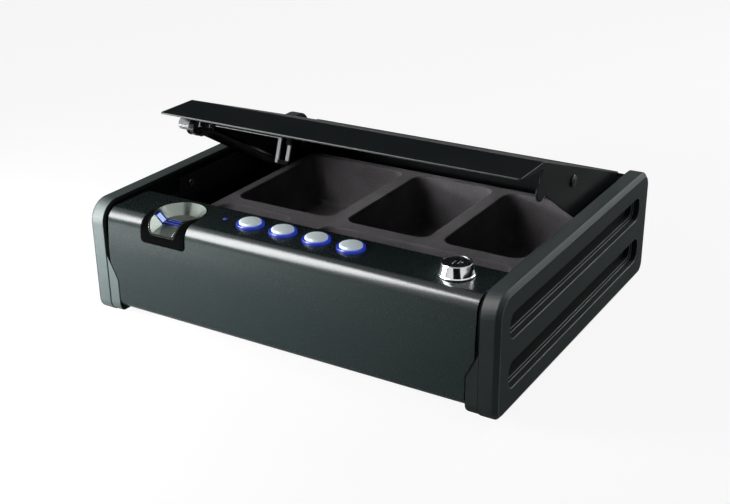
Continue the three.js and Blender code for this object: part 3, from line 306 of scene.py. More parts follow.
class Finish:
    """One procedural material: a principled shader and the patterns that feed it."""

    def __init__(self, name, **constants):
        self.material = bpy.data.materials.new(name)
        self.material.use_nodes = True
        self.tree = self.material.node_tree
        self.tree.nodes.clear()
        self.output = self.tree.nodes.new("ShaderNodeOutputMaterial")
        self.shader = self.tree.nodes.new("ShaderNodeBsdfPrincipled")
        self.tree.links.new(self.shader.outputs[0], self.output.inputs[0])
        self.feed(**constants)

    def node(self, kind, settings=None, values=None, output=0):
        """Adds a node, makes its settings first, then fills or links its sockets."""
        made = self.tree.nodes.new(kind)
        for key, setting in (settings or {}).items():
            setattr(made, key, setting)
        pairs = enumerate(values) if isinstance(values, list) else (values or {}).items()
        for key, given in pairs:
            self.fill(made.inputs[key], given)
        return Value(self, made.outputs[output])

    def fill(self, socket, given):
        if isinstance(given, Value):
            self.tree.links.new(given.socket, socket)
        elif hasattr(given, "__len__") and socket.type == "RGBA" and len(given) == 3:
            socket.default_value = (*given, 1.0)
        else:
            socket.default_value = given

    def feed(self, **sockets):
        """Feeds the principled shader, with a socket's name written with underscores."""
        for name, given in sockets.items():
            self.fill(self.shader.inputs[name.replace("_", " ")], given)
        return self

    def place(self, scale=(1.0, 1.0, 1.0)):
        """Where a point is on the piece, in metres, stretched by a scale."""
        where = self.node("ShaderNodeTexCoord", output="Object")
        return self.node("ShaderNodeMapping", None, {"Vector": where, "Scale": scale})

    def noise(self, scale, detail=3.0, rough=0.55, place=None):
        return self.node(
            "ShaderNodeTexNoise",
            None,
            {
                "Vector": place or self.place(),
                "Scale": scale,
                "Detail": detail,
                "Roughness": rough,
            },
        )

    def cells(self, scale):
        return self.node(
            "ShaderNodeTexVoronoi",
            None,
            {"Vector": self.place(), "Scale": scale},
            output="Distance",
        )

    def ramp(self, value, low, high):
        """Stretches a value's range between two levels to 0 and 1."""
        return self.node(
            "ShaderNodeMapRange",
            {"clamp": True},
            {"Value": value, "From Min": low, "From Max": high},
        )

    def mix(self, share, first, second):
        return self.node(
            "ShaderNodeMix", {"data_type": "RGBA"}, {0: share, 6: first, 7: second}, output=2
        )

    def bump(self, height, strength, distance):
        return self.node(
            "ShaderNodeBump", None, {"Height": height, "Strength": strength, "Distance": distance}
        )


def shade(tone, factor):
    """A colour made darker or lighter."""
    return tuple(min(1.0, part * factor) for part in tone)


# Finishes


def moulded_plastic(name, tone, rough=0.5, grain=900.0, depth=0.00009, sheen=0.5):
    """Moulded plastic with a fine spark-eroded grain and faint handling marks."""
    finish = Finish(name)
    grains = finish.noise(grain, 2.0, 0.6)
    clouds = finish.noise(26.0, 4.0)
    marks = finish.ramp(finish.noise(150.0, 5.0, 0.7, finish.place((1.0, 0.3, 1.0))), 0.58, 0.74)
    tint = finish.mix(finish.ramp(clouds, 0.3, 0.7), shade(tone, 0.9), shade(tone, 1.12))
    finish.feed(
        Base_Color=finish.mix(finish.ramp(grains, 0.35, 0.75) * 0.35, tint, shade(tone, 1.5)),
        Roughness=(clouds * 0.12 + marks * 0.05 + (rough - 0.06)).held(),
        Specular_IOR_Level=sheen,
        Normal=finish.bump(grains, 0.55, depth),
    )
    return finish.material


def satin_paint(name, tone, rough=0.3, sheen=0.8):
    """Satin paint with a fine metallic speckle and a slight orange-peel surface."""
    finish = Finish(name)
    peel = finish.noise(420.0, 2.0, 0.5)
    flakes = finish.noise(1600.0, 1.0, 0.5)
    clouds = finish.noise(18.0, 4.0)
    sparks = finish.ramp(flakes, 0.56, 0.8)
    finish.feed(
        Base_Color=finish.mix(sparks * 0.28, tone, shade(tone, 2.0)),
        Roughness=(clouds * 0.08 + sparks * 0.1 + (rough - 0.04)).held(),
        Specular_IOR_Level=sheen,
        Normal=finish.bump(peel, 0.18, 0.00006),
    )
    return finish.material


def powder_coat(name, tone, rough=0.45, grain=700.0, sheen=0.5):
    """Powder coat on sheet steel, with a fine pebbled surface and a few dull scuffs."""
    finish = Finish(name)
    pebbles = finish.cells(grain)
    clouds = finish.noise(22.0, 4.0)
    scuffs = finish.ramp(finish.noise(90.0, 6.0, 0.72, finish.place((0.25, 1.0, 1.0))), 0.62, 0.78)
    finish.feed(
        Base_Color=finish.mix(scuffs * 0.35, tone, shade(tone, 2.2)),
        Roughness=(clouds * 0.1 + scuffs * 0.12 + (rough - 0.05)).held(),
        Specular_IOR_Level=sheen,
        Normal=finish.bump(finish.ramp(pebbles, 0.0, 0.8), 0.25, 0.00008),
    )
    return finish.material


def bright_metal(name, tone, rough, lay=(1.0, 1.0, 1.0), streak=260.0, metal=1.0):
    """Plated or turned metal with fine tool lines and slightly uneven shine."""
    finish = Finish(name, Metallic=metal)
    lines = finish.noise(streak, 4.0, 0.6, finish.place(lay))
    clouds = finish.noise(70.0, 3.0)
    finish.feed(
        Base_Color=finish.mix(finish.ramp(clouds, 0.3, 0.7) * 0.5, tone, shade(tone, 0.82)),
        Roughness=(lines * 0.12 + clouds * 0.06 + (rough - 0.08)).held(),
        Normal=finish.bump(lines, 0.12, 0.00004),
    )
    return finish.material


def lit_plastic(name, tone, core, strength=1.0, gloss=0.6, sheen=0.5):
    """Blue light pipe under a clear glossy skin, a little brighter here and there."""
    finish = Finish(
        name,
        Roughness=0.3,
        Specular_IOR_Level=sheen,
        Coat_Weight=gloss,
        Coat_Roughness=0.12,
    )
    glow = finish.ramp(finish.noise(240.0, 2.0), 0.25, 0.75)
    finish.feed(
        Base_Color=shade(tone, 0.4),
        Emission_Color=finish.mix(glow, tone, core),
        Emission_Strength=strength,
    )
    return finish.material


def frosted_cap_painted_glow(name, tone):
    """Frosted button cap with a fine matt surface and a pale painted glow that lightens it."""
    finish = Finish(name, Coat_Weight=0.15, Coat_Roughness=0.25)
    frost = finish.noise(1200.0, 2.0)
    clouds = finish.noise(160.0, 3.0)
    finish.feed(
        Base_Color=finish.mix(finish.ramp(clouds, 0.3, 0.7), shade(tone, 0.9), tone),
        Roughness=(frost * 0.14 + 0.3).held(),
        # painted light: a pale glow lightens the caps
        Emission_Color=(0.78, 0.90, 0.95, 1.0),
        Emission_Strength=0.3,
        Normal=finish.bump(frost, 0.15, 0.00005),
    )
    return finish.material


def tinted_window(name):
    """Dark tinted window with a faint fingermark that dulls its gloss."""
    finish = Finish(name, Base_Color=(0.018, 0.022, 0.014), Coat_Weight=0.6, Coat_Roughness=0.06)
    smear = finish.ramp(finish.noise(320.0, 4.0, 0.6, finish.place((1.0, 0.5, 1.0))), 0.45, 0.7)
    finish.feed(Roughness=(smear * 0.18 + 0.09).held())
    return finish.material


def velour_skin(name, tone, sheen=0.6, pile=1500.0):
    """Short velour pile: fine fibres, darker and lighter where it was brushed."""
    finish = Finish(
        name, Sheen_Weight=sheen, Sheen_Roughness=0.4, Sheen_Tint=(0.5, 0.48, 0.5, 1.0)
    )
    fibres = finish.noise(pile, 4.0, 0.7)
    strands = finish.noise(620.0, 3.0, 0.65, finish.place((1.0, 0.45, 1.0)))
    brushed = finish.noise(34.0, 4.0, 0.6)
    tint = finish.mix(finish.ramp(brushed, 0.35, 0.68), shade(tone, 0.72), shade(tone, 1.35))
    finish.feed(
        Base_Color=finish.mix(finish.ramp(fibres, 0.3, 0.75) * 0.7, tint, shade(tone, 2.1)),
        Roughness=(0.98 - fibres * 0.08).held(),
        Specular_IOR_Level=0.15,
        Normal=finish.bump(fibres * 0.6 + strands * 0.4, 0.8, 0.0005),
    )
    return finish.material


def soft_rubber(name, tone):
    """Black rubber with dust in its fine pores."""
    finish = Finish(name, Specular_IOR_Level=0.3)
    pores = finish.noise(1300.0, 3.0)
    dust = finish.ramp(finish.noise(60.0, 5.0), 0.5, 0.8)
    finish.feed(
        Base_Color=finish.mix(dust * 0.3, tone, (0.06, 0.06, 0.06)),
        Roughness=(0.94 - pores * 0.12).held(),
        Normal=finish.bump(pores, 0.3, 0.00012),
    )
    return finish.material


def board_laminate(name):
    """Green circuit board with thin copper tracks under its lacquer."""
    finish = Finish(name, Coat_Weight=0.4, Coat_Roughness=0.15)
    tracks = finish.node(
        "ShaderNodeTexBrick",
        None,
        {
            "Vector": finish.place(),
            "Color1": (0.02, 0.09, 0.035, 1.0),
            "Color2": (0.016, 0.075, 0.03, 1.0),
            "Mortar": (0.06, 0.2, 0.08, 1.0),
            "Scale": 160.0,
            "Mortar Size": 0.05,
        },
    )
    weave = finish.noise(900.0, 2.0)
    finish.feed(
        Base_Color=tracks,
        Roughness=(weave * 0.15 + 0.4).held(),
        Normal=finish.bump(weave, 0.1, 0.00005),
    )
    return finish.material


def cell_sleeve(name):
    """Printed sleeve of a round cell: dark, with one coloured band and no words."""
    finish = Finish(name, Metallic=0.6)
    where = finish.node("ShaderNodeTexCoord", output="Object")
    along = finish.node("ShaderNodeSeparateXYZ", None, {"Vector": where})
    bands = finish.node(
        "ShaderNodeMath", {"operation": "PINGPONG"}, [along, 0.026]
    )
    copper = bands > 0.0215
    scratches = finish.noise(400.0, 4.0, 0.6, finish.place((1.0, 6.0, 6.0)))
    finish.feed(
        Base_Color=finish.mix(copper, (0.02, 0.025, 0.032), (0.42, 0.2, 0.06)),
        Roughness=(scratches * 0.2 + 0.22).held(),
    )
    return finish.material


def finish_table(colours):
    """Every finish of the safe, by the record's slot."""
    return {
        "panel": moulded_plastic("panel_plastic", colours.panel, 0.52, sheen=0.3),
        "housing": satin_paint("housing_paint", colours.housing, 0.25, sheen=0.36),
        "steel": powder_coat("box_powder_coat", colours.steel, 0.42, sheen=0.25),
        "lid": powder_coat("lid_powder_coat", colours.lid, 0.36, 800.0, 0.2),
        "seal": soft_rubber("seal_rubber", (0.006, 0.007, 0.007)),
        "bezel": moulded_plastic("bezel_plastic", colours.bezel, 0.66, 1300.0, 0.00004, 0.05),
        "dish": bright_metal("dish_metal", colours.dish, 0.2, (0.3, 1.0, 1.0), 120.0, 0.75),
        "window": tinted_window("sensor_window"),
        "glow": lit_plastic("blue_light", colours.light, (0.03, 0.075, 0.62), 0.5),
        "button": frosted_cap_painted_glow("button_frosting_painted_glow", colours.button),
        "board": board_laminate("circuit_laminate"),
        "holder": moulded_plastic("holder_plastic", PLAIN_BLACK, 0.55),
        "cell": cell_sleeve("cell_sleeve"),
        "chrome": bright_metal("bright_chrome", (0.88, 0.90, 0.92), 0.1),
        "black": satin_paint("lock_black", PLAIN_BLACK, 0.25),
        "brass": bright_metal("turned_brass", (0.58, 0.42, 0.17), 0.3, (1.0, 1.0, 8.0)),
        "zinc": bright_metal("zinc_plate", (0.46, 0.48, 0.49), 0.36),
        "stay": satin_paint("stay_enamel", colours.stay, 0.22),
        "velour": velour_skin("tray_velour", colours.velour),
        "mat": velour_skin("felt_mat", PLAIN_BLACK, 0.3, 1100.0),
        "rubber": soft_rubber("foot_rubber", (0.01, 0.01, 0.01)),
    }


def extra_finishes(colours):
    """Finishes that share a slot of the record with another."""
    return {
        "light_core": lit_plastic(
            "lit_core", (0.34, 0.46, 1.0), (0.52, 0.64, 1.0), gloss=0.1, sheen=0.1
        ),
        "light_frame": lit_plastic(
            "lit_frame", (0.001, 0.004, 0.07), (0.003, 0.010, 0.13), gloss=0.0, sheen=0.05
        ),
        "light_lines": lit_plastic(
            "lit_lines", (0.12, 0.20, 0.70), (0.20, 0.30, 0.88), gloss=0.0, sheen=0.05
        ),
        "lamp": lit_plastic("lamp_lens", (0.012, 0.02, 0.22), (0.02, 0.04, 0.40)),
        # Darker copy of the panel plastic: painted shade in the groove pockets
        "panel_recess_painted_shade": moulded_plastic("panel_recess_painted_shade", shade(colours.panel, 0.3), 0.6, sheen=0.1),
        # Near-black copy of the panel plastic: painted shade on the panels' inward faces
        "panel_inner_painted_shade": moulded_plastic("panel_inner_painted_shade", shade(colours.panel, 0.1), 0.6, sheen=0.05),
        # Lighter copy of the panel plastic: a painted highlight along the panels' edges
        "panel_painted_glint": moulded_plastic("panel_painted_glint", shade(colours.panel, 3.2), 0.4, sheen=0.5),
    }


finishes = {}


# Modelling by hand


def only(*pieces):
    """Selects these pieces and nothing else, in object mode."""
    if bpy.context.object and bpy.context.object.mode != "OBJECT":
        bpy.ops.object.mode_set(mode="OBJECT")
    bpy.ops.object.select_all(action="DESELECT")
    for piece in pieces:
        piece.hide_set(False)
        piece.select_set(True)
    if pieces:
        bpy.context.view_layer.objects.active = pieces[0]


def editing(piece):
    """Opens a piece in edit mode with all its faces selected."""
    only(piece)
    bpy.ops.object.mode_set(mode="EDIT")
    bpy.ops.mesh.select_mode(type="FACE")
    bpy.ops.mesh.select_all(action="SELECT")


def modelled():
    """Closes edit mode."""
    bpy.ops.object.mode_set(mode="OBJECT")


def within(value, bounds):
    return bounds[0] < value < bounds[1]


def pick_faces(piece, wanted):
    """Selects the faces whose centre and normal meet a rule, from edit mode and back."""
    bpy.ops.mesh.select_mode(type="FACE")
    bpy.ops.mesh.select_all(action="DESELECT")
    bpy.ops.object.mode_set(mode="OBJECT")
    count = 0
    for face in piece.data.polygons:
        face.select = bool(wanted(face.center, face.normal))
        count += face.select
    bpy.ops.object.mode_set(mode="EDIT")
    return count


def merged_copy(node, name):
    """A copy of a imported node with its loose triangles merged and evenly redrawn."""
    piece = bpy.data.objects.new(name, nodes[node].data.copy())
    bpy.context.scene.collection.objects.link(piece)
    piece.data.materials.clear()
    editing(piece)
    bpy.ops.mesh.customdata_custom_splitnormals_clear()
    bpy.ops.mesh.remove_doubles(threshold=MERGED_WITHIN)
    bpy.ops.mesh.dissolve_limited(angle_limit=FLAT_WITHIN)
    bpy.ops.mesh.quads_convert_to_tris(quad_method="BEAUTY", ngon_method="BEAUTY")
    modelled()
    return piece


def rounded(piece, width, segments=2, angle=30.0):
    """Rounds a piece's sharp edges."""
    only(piece)
    rounding = piece.modifiers.new("rounding", "BEVEL")
    rounding.width = width
    rounding.segments = segments
    rounding.limit_method = "ANGLE"
    rounding.angle_limit = math.radians(angle)
    rounding.use_clamp_overlap = False
    rounding.loop_slide = False
    rounding.miter_outer = "MITER_ARC"
    bpy.ops.object.modifier_apply(modifier=rounding.name)


def shaded(piece, smooth=38.0):
    """Shades a piece's curves smoothly and keeps its large faces flat."""
    only(piece)
    bpy.ops.object.shade_smooth_by_angle(angle=math.radians(smooth))
    weighting = piece.modifiers.new("weighting", "WEIGHTED_NORMAL")
    weighting.keep_sharp = True
    weighting.weight = 100
    bpy.ops.object.modifier_apply(modifier=weighting.name)
    return piece


def eased(piece, width, segments=2, angle=30.0, smooth=38.0):
    """Rounds a piece's edges, where a width is given, and shades it."""
    if width > 0:
        rounded(piece, width, segments, angle)
    return shaded(piece, smooth)


def finished(piece, node, slot=None):
    """Gives a piece its finish and its body, and lets it stand for its node."""
    name = slot or SLOT_OF[node]
    piece.data.materials.clear()
    piece.data.materials.append(finishes[name])
    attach(piece, BODY_OF[node])
    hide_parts(node)
    return piece


def dressed(node, width, segments=2, angle=30.0, smooth=38.0, slot=None):
    """A node's merged copy with eased edges and its finish."""
    piece = merged_copy(node, node + "_dressed")
    eased(piece, width, segments, angle, smooth)
    return finished(piece, node, slot)


def drawn_up(name, x, y, profile, sides):
    """A round piece drawn up from a circle: every step is a radius and a height."""
    only()
    radius, level = profile[0]
    bpy.ops.mesh.primitive_circle_add(
        vertices=sides, radius=radius, fill_type="NGON", location=(x, y, level)
    )
    piece = bpy.context.object
    piece.name = piece.data.name = name
    bpy.ops.object.transform_apply(location=True, rotation=True, scale=True)
    editing(piece)
    for (before, low), (after, high) in zip(profile, profile[1:]):
        bpy.ops.mesh.extrude_region_move(
            TRANSFORM_OT_translate={"value": (0.0, 0.0, high - low)}
        )
        bpy.ops.transform.resize(
            value=(after / before, after / before, 1.0), center_override=(x, y, high)
        )
    bpy.ops.mesh.select_all(action="SELECT")
    bpy.ops.mesh.normals_make_consistent(inside=False)
    modelled()
    return piece


def round_piece(node, profile_of, sides, smooth):
    """A node's round piece, drawn up from steps worked out from its radius, bottom and top."""
    low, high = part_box(node)
    centre = (low + high) / 2
    steps = profile_of((high.x - low.x) / 2, low.z, high.z)
    piece = drawn_up(f"{node}_dressed", centre.x, centre.y, steps, sides)
    return eased(piece, 0.0, smooth=smooth)


def at(x, y, z):
    """A point of the part's source, in millimetres, as a place in the scene."""
    return Vector((x, y - HALF_DEPTH, z + FEET_HEIGHT)) / 1000.0


def source_point(place):
    """A place in the scene as a point of the part's source, in millimetres."""
    return place.x * 1000.0, place.y * 1000.0 + HALF_DEPTH, place.z * 1000.0 - FEET_HEIGHT


def cuboid(name, middle, size):
    """A square block, ready to be shaped."""
    only()
    bpy.ops.mesh.primitive_cube_add(size=1.0, location=middle)
    piece = bpy.context.object
    piece.name = piece.data.name = name
    piece.scale = size
    bpy.ops.object.transform_apply(location=True, rotation=True, scale=True)
    return piece


def block(name, low, high):
    """A square block between two corners given in millimetres."""
    low, high = at(*low), at(*high)
    return cuboid(name, (low + high) / 2, high - low)


def settled(piece, place, turn=(0.0, 0.0, 0.0)):
    """Moves a shape to its place and leaves its object at the origin."""
    only(piece)
    piece.location = place
    piece.rotation_euler = turn
    bpy.ops.object.transform_apply(location=True, rotation=True, scale=True)
    return piece


def leaned(piece):
    """Turns a shape made for the closed lid to where the lid stands ajar."""
    hinge = at(0.0, *LID_HINGE)
    turn = Matrix.Rotation(-LID_LEAN, 3, "X")
    return settled(piece, hinge - turn @ hinge, (-LID_LEAN, 0.0, 0.0))


def turned_across(name, y, z, profile, sides):
    """A round piece along the safe's width: every step is a radius and an x in millimetres."""
    steps = [(radius / 1000.0, x / 1000.0) for radius, x in profile]
    piece = drawn_up(name, 0.0, 0.0, steps, sides)
    return settled(piece, at(0.0, y, z), (0.0, math.radians(90.0), 0.0))


def one_piece(name, *pieces):
    """Joins shapes into one piece."""
    only(*pieces)
    if len(pieces) > 1:
        bpy.ops.object.join()
    joined = bpy.context.object
    joined.name = joined.data.name = name
    return joined


def added(piece, finish, body):
    """Gives a piece that stands for no node its finish and its body."""
    piece.data.materials.clear()
    piece.data.materials.append(finishes[finish])
    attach(piece, body)
    return piece


def second_finish(piece, finish, wanted):
    """Gives some faces of a piece another finish."""
    piece.data.materials.append(finishes[finish])
    editing(piece)
    if not pick_faces(piece, wanted):
        raise RuntimeError("no faces for " + finish)
    piece.active_material_index = len(piece.data.materials) - 1
    bpy.ops.object.material_slot_assign()
    modelled()
    return piece


# Pieces


class SAFE_OT_end_panels(Operator):
    """Model the two moulded end panels with their feet, grooves and seam line"""

    bl_idname = "safe.end_panels"
    bl_label = "End Panels"

    def execute(self, context):
        sizes = context.scene.safe_sizes
        for side, node in ((-1, "end_panel_left"), (1, "end_panel_right")):
            piece = merged_copy(node, node + "_dressed")
            rounded(piece, sizes.panel_edge, 2, 24.0)
            self.seam(piece, side, *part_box(node), sizes)
            shaded(piece, 30.0)
            finished(piece, node)
            self.grooves(piece)
            # painted shade: faces turned inwards, away from the light, get a near-black copy of the
            # panel plastic
            second_finish(piece, "panel_inner_painted_shade", lambda c, n: -side * n.x > ASIDE)
        return {"FINISHED"}

    def seam(self, piece, side, low, high, sizes):
        """Sinks a thin line round the panel's outline, a little in from its outer face."""
        outer = high.x if side > 0 else -low.x
        start = outer - SEAM_INSET
        middle = start + sizes.seam_width / 2
        editing(piece)
        for cut in (start, start + sizes.seam_width):
            bpy.ops.mesh.select_all(action="SELECT")
            bpy.ops.mesh.bisect(plane_co=(side * cut, 0, 0), plane_no=(1, 0, 0))

        def on_seam(c, n):
            between_cuts = abs(abs(c.x) - middle) < sizes.seam_width / 2
            from_outline = min(c.y - low.y, high.y - c.y, c.z - low.z, high.z - c.z)
            return between_cuts and abs(n.x) < ASIDE and from_outline < SEAM_REACH

        if not pick_faces(piece, on_seam):
            raise RuntimeError("no faces for the seam line")
        bpy.ops.mesh.extrude_region_shrink_fatten(
            TRANSFORM_OT_shrink_fatten={"value": -sizes.seam_depth}
        )
        modelled()

    def grooves(self, piece):
        """Darkens the pockets in the grooves with painted shade and gives the edges a painted
        highlight line.
        """
        front, back = at(*GROOVES_START), at(*GROOVES_END)

        def in_groove(c):
            return front.y < c.y < back.y and front.z < c.z < back.z

        def in_shaded_pocket(c, n):
            return in_groove(c) and POCKET_FLOOR < abs(c.x) < PANEL_FACE - FACE_SKIN

        def on_groove_edge(c, n):
            off = min(abs(abs(c.x) - level) for level in (PANEL_SHELF, PANEL_FACE))
            return in_groove(c) and within(abs(n.x), GLINT_SLANT_IN_GROOVE) and off < GLINT_LINE_WIDTH

        def on_face_edge(c, n):
            return within(abs(n.x), GLINT_SLANT_ON_FACE) and abs(c.x) > PANEL_FACE - FACE_EDGE

        # painted shade: the groove pockets get a darker copy of the panel plastic
        second_finish(piece, "panel_recess_painted_shade", in_shaded_pocket)
        # painted highlight: a lighter copy of the panel plastic along the groove and face edges
        # stands in for glints
        second_finish(
            piece, "panel_painted_glint", lambda c, n: on_groove_edge(c, n) or on_face_edge(c, n)
        )


class SAFE_OT_steel_box(Operator):
    """Model the folded steel box with softened sheet edges"""

    bl_idname = "safe.steel_box"
    bl_label = "Steel Box"

    def execute(self, context):
        dressed("steel_box", context.scene.safe_sizes.sheet_edge)
        return {"FINISHED"}


class SAFE_OT_control_housing(Operator):
    """Model the control housing and the soft strips at its ends"""

    bl_idname = "safe.control_housing"
    bl_label = "Control Housing"

    def execute(self, context):
        sizes = context.scene.safe_sizes
        dressed("control_housing", sizes.sheet_edge)
        for node in ("end_seal_left", "end_seal_right"):
            dressed(node, sizes.fine_edge)
        return {"FINISHED"}


class SAFE_OT_finger_reader(Operator):
    """Model the reader's bezel, dish and window, its lit strip and its lit tile"""

    bl_idname = "safe.finger_reader"
    bl_label = "Finger Reader"

    def execute(self, context):
        sizes = context.scene.safe_sizes
        dressed("reader_bezel", sizes.fine_edge)
        dish = dressed("reader_dish", sizes.fine_edge / 2)
        rim, lip = at(*DISH_RIM), at(*DISH_LIP)

        def on_rim(c, n):
            return c.z > rim.z and n.z > FACING

        def on_front_lip(c, n):
            faces_out = abs(n.x) < ASIDE and n.z > DISH_LIP_UNDERSIDE
            return c.y < lip.y and faces_out and (n.y < -DISH_LIP_LEAN or c.z > lip.z)

        second_finish(dish, "bezel", lambda c, n: on_rim(c, n) or on_front_lip(c, n))
        dressed("reader_window", sizes.fine_edge)
        self.light_strip(sizes)
        self.light_tile(sizes)
        return {"FINISHED"}

    def light_strip(self, sizes):
        """A dark blue plate on the window with three paler lines along it."""
        strip = block("reader_light_strip_dressed", STRIP_LOW, STRIP_HIGH)
        rounded(strip, sizes.fine_edge)
        editing(strip)
        for line in STRIP_LINES:
            for edge in (line - LINE_HALF, line + LINE_HALF):
                bpy.ops.mesh.select_all(action="SELECT")
                bpy.ops.mesh.bisect(plane_co=at(0, edge, 0), plane_no=(0, 1, 0))
        level = at(*LINE_LEVEL).z

        def on_line(c, n):
            off = min(abs(c.y - at(0, line, 0).y) for line in STRIP_LINES)
            return n.z > FACING and off < LINE_HALF / 1000.0

        if not pick_faces(strip, on_line):
            raise RuntimeError("no faces for the light lines")
        bpy.ops.mesh.extrude_region_move(TRANSFORM_OT_translate={"value": (0, 0, LINE_RISE)})
        modelled()
        shaded(strip, 30.0)
        finished(strip, "reader_light_strip", "light_frame")
        second_finish(strip, "light_lines", lambda c, n: c.z > level and on_line(c, n))

    def light_tile(self, sizes):
        """A leaning tile on the dish's wall: a pale lit core in a dark blue frame."""
        tile = cuboid("reader_light_tile_dressed", (0, 0, 0), TILE_SIZE)
        editing(tile)
        pick_faces(tile, lambda c, n: n.x > FACING)
        bpy.ops.mesh.inset(thickness=TILE_FRAME, depth=0.0)
        bpy.ops.mesh.inset(thickness=TILE_GROOVE[0], depth=TILE_GROOVE[1])
        modelled()
        rounded(tile, sizes.fine_edge, 2, 60.0)
        shaded(tile, 30.0)
        finished(tile, "reader_light_tile", "light_frame")
        face, wide, tall = TILE_SIZE / 2

        def on_core(c, n):
            inside = abs(c.y) < wide - TILE_FRAME + TILE_MARGIN
            inside = inside and abs(c.z) < tall - TILE_FRAME + TILE_MARGIN
            return inside and c.x > face - TILE_MARGIN * 2

        second_finish(tile, "light_core", on_core)
        lean = Matrix.Rotation(TILE_TURN, 3, "Z") @ Matrix.Rotation(TILE_LEAN, 3, "Y")
        settled(tile, at(*TILE_PLACE) - lean @ Vector((face, 0.0, 0.0)), lean.to_euler())


class SAFE_OT_buttons(Operator):
    """Model the four crowned button caps and the lit rings round them"""

    bl_idname = "safe.buttons"
    bl_label = "Buttons"

    def execute(self, context):
        sizes = context.scene.safe_sizes
        for number in range(1, 5):
            node = f"button_{number}"
            finished(round_piece(node, self.cap, sizes.round_sides, 32.0), node)
            dressed(f"button_ring_{number}", sizes.fine_edge)
        return {"FINISHED"}

    def cap(self, wide, low, top):
        """A thin stem, a skirt and a crown that rises to the middle."""
        steps = (*BUTTON_SKIRT, *BUTTON_CROWN)
        rim = [(wide - inset, top - drop) for inset, drop in steps]
        stem = [(BUTTON_STEM, low), (BUTTON_STEM, rim[0][1])]
        return [*stem, *rim, (BUTTON_MIDDLE, top)]


class SAFE_OT_status_lamp(Operator):
    """Model the small domed lamp beside the buttons"""

    bl_idname = "safe.status_lamp"
    bl_label = "Status Lamp"

    def execute(self, context):
        sides = context.scene.safe_sizes.round_sides // 2
        lens = round_piece("status_lamp", self.lens, sides, 50.0)
        finished(lens, "status_lamp", "lamp")
        return {"FINISHED"}

    def lens(self, wide, low, top):
        """A straight side under a dome."""
        crown = [(wide * share, top - drop) for share, drop in LAMP_CROWN_SHARES]
        return [(wide, low), *crown]


class SAFE_OT_key_lock(Operator):
    """Model the lock's plated ring and its turning plug with the key slot"""

    bl_idname = "safe.key_lock"
    bl_label = "Key Lock"

    def execute(self, context):
        sizes = context.scene.safe_sizes
        ring = dressed("lock_ring", sizes.fine_edge * 1.5, 3)
        low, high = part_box("lock_ring")
        middle = (low + high) / 2

        def on_top(c, n):
            return c.z > high.z - RING_TOP and n.z > RING_FACING

        def faces_in(c, n):
            return (c.x - middle.x) * n.x + (c.y - middle.y) * n.y < -0.001

        second_finish(ring, "black", lambda c, n: on_top(c, n) or faces_in(c, n))
        dressed("lock_plug", sizes.fine_edge)
        self.keyway_lips(sizes)
        return {"FINISHED"}

    def keyway_lips(self, sizes):
        """Two bright worn lips and a pin beside the key slot in the black face."""
        low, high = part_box("lock_plug")
        centre = (low + high) / 2
        x, y, z = source_point(Vector((centre.x, centre.y, high.z)))
        side = sizes.key_slot_width * 1000.0 / 2
        lips = []
        for left, right, front, back in (
            (-side - LEFT_KEY_LIP[0], -side - KEY_LIP_GAP, *LEFT_KEY_LIP[1:]),
            (side + KEY_LIP_GAP, side + RIGHT_KEY_LIP[0], *RIGHT_KEY_LIP[1:]),
            (side + KEY_PIN[0], side + KEY_PIN[1], *KEY_PIN[2:]),
        ):
            low_corner = (x + left, y + front, z - KEY_LIP_SUNK)
            lip = block("lip", low_corner, (x + right, y + back, z + KEY_LIP_PROUD))
            rounded(lip, sizes.fine_edge)
            lips.append(lip)
        lips = one_piece("keyway_lips", *lips)
        shaded(lips)
        added(lips, "zinc", BODY_OF["lock_plug"])


class SAFE_OT_lid(Operator):
    """Model the folded steel lid, its inner pan and its striker"""

    bl_idname = "safe.lid"
    bl_label = "Lid"

    def execute(self, context):
        sizes = context.scene.safe_sizes
        dressed("lid_shell", sizes.sheet_edge, 3, 12.0, 40.0)
        dressed("lid_inner_pan", sizes.sheet_edge, 3)
        dressed("lid_striker", sizes.fine_edge)
        self.striker_trim(sizes)
        return {"FINISHED"}

    def striker_trim(self, sizes):
        """The striker's rubber sleeve, clip and head, and the strip beside it."""
        for name, low, high, finish in STRIKER_TRIMS:
            piece = block(name, low, high)
            rounded(piece, sizes.fine_edge)
            leaned(shaded(piece))
            added(piece, finish, "lid")


class SAFE_OT_hinge_arms(Operator):
    """Model the lid's two hinge arms with their pins and rivets"""

    bl_idname = "safe.hinge_arms"
    bl_label = "Hinge Arms"

    def execute(self, context):
        sizes = context.scene.safe_sizes
        for side in ("left", "right"):
            dressed(f"hinge_arm_{side}", sizes.fine_edge, slot="lid")
            dressed(f"hinge_pin_{side}", sizes.fine_edge)
            dressed(f"arm_rivet_{side}", sizes.fine_edge, slot="black")
        return {"FINISHED"}


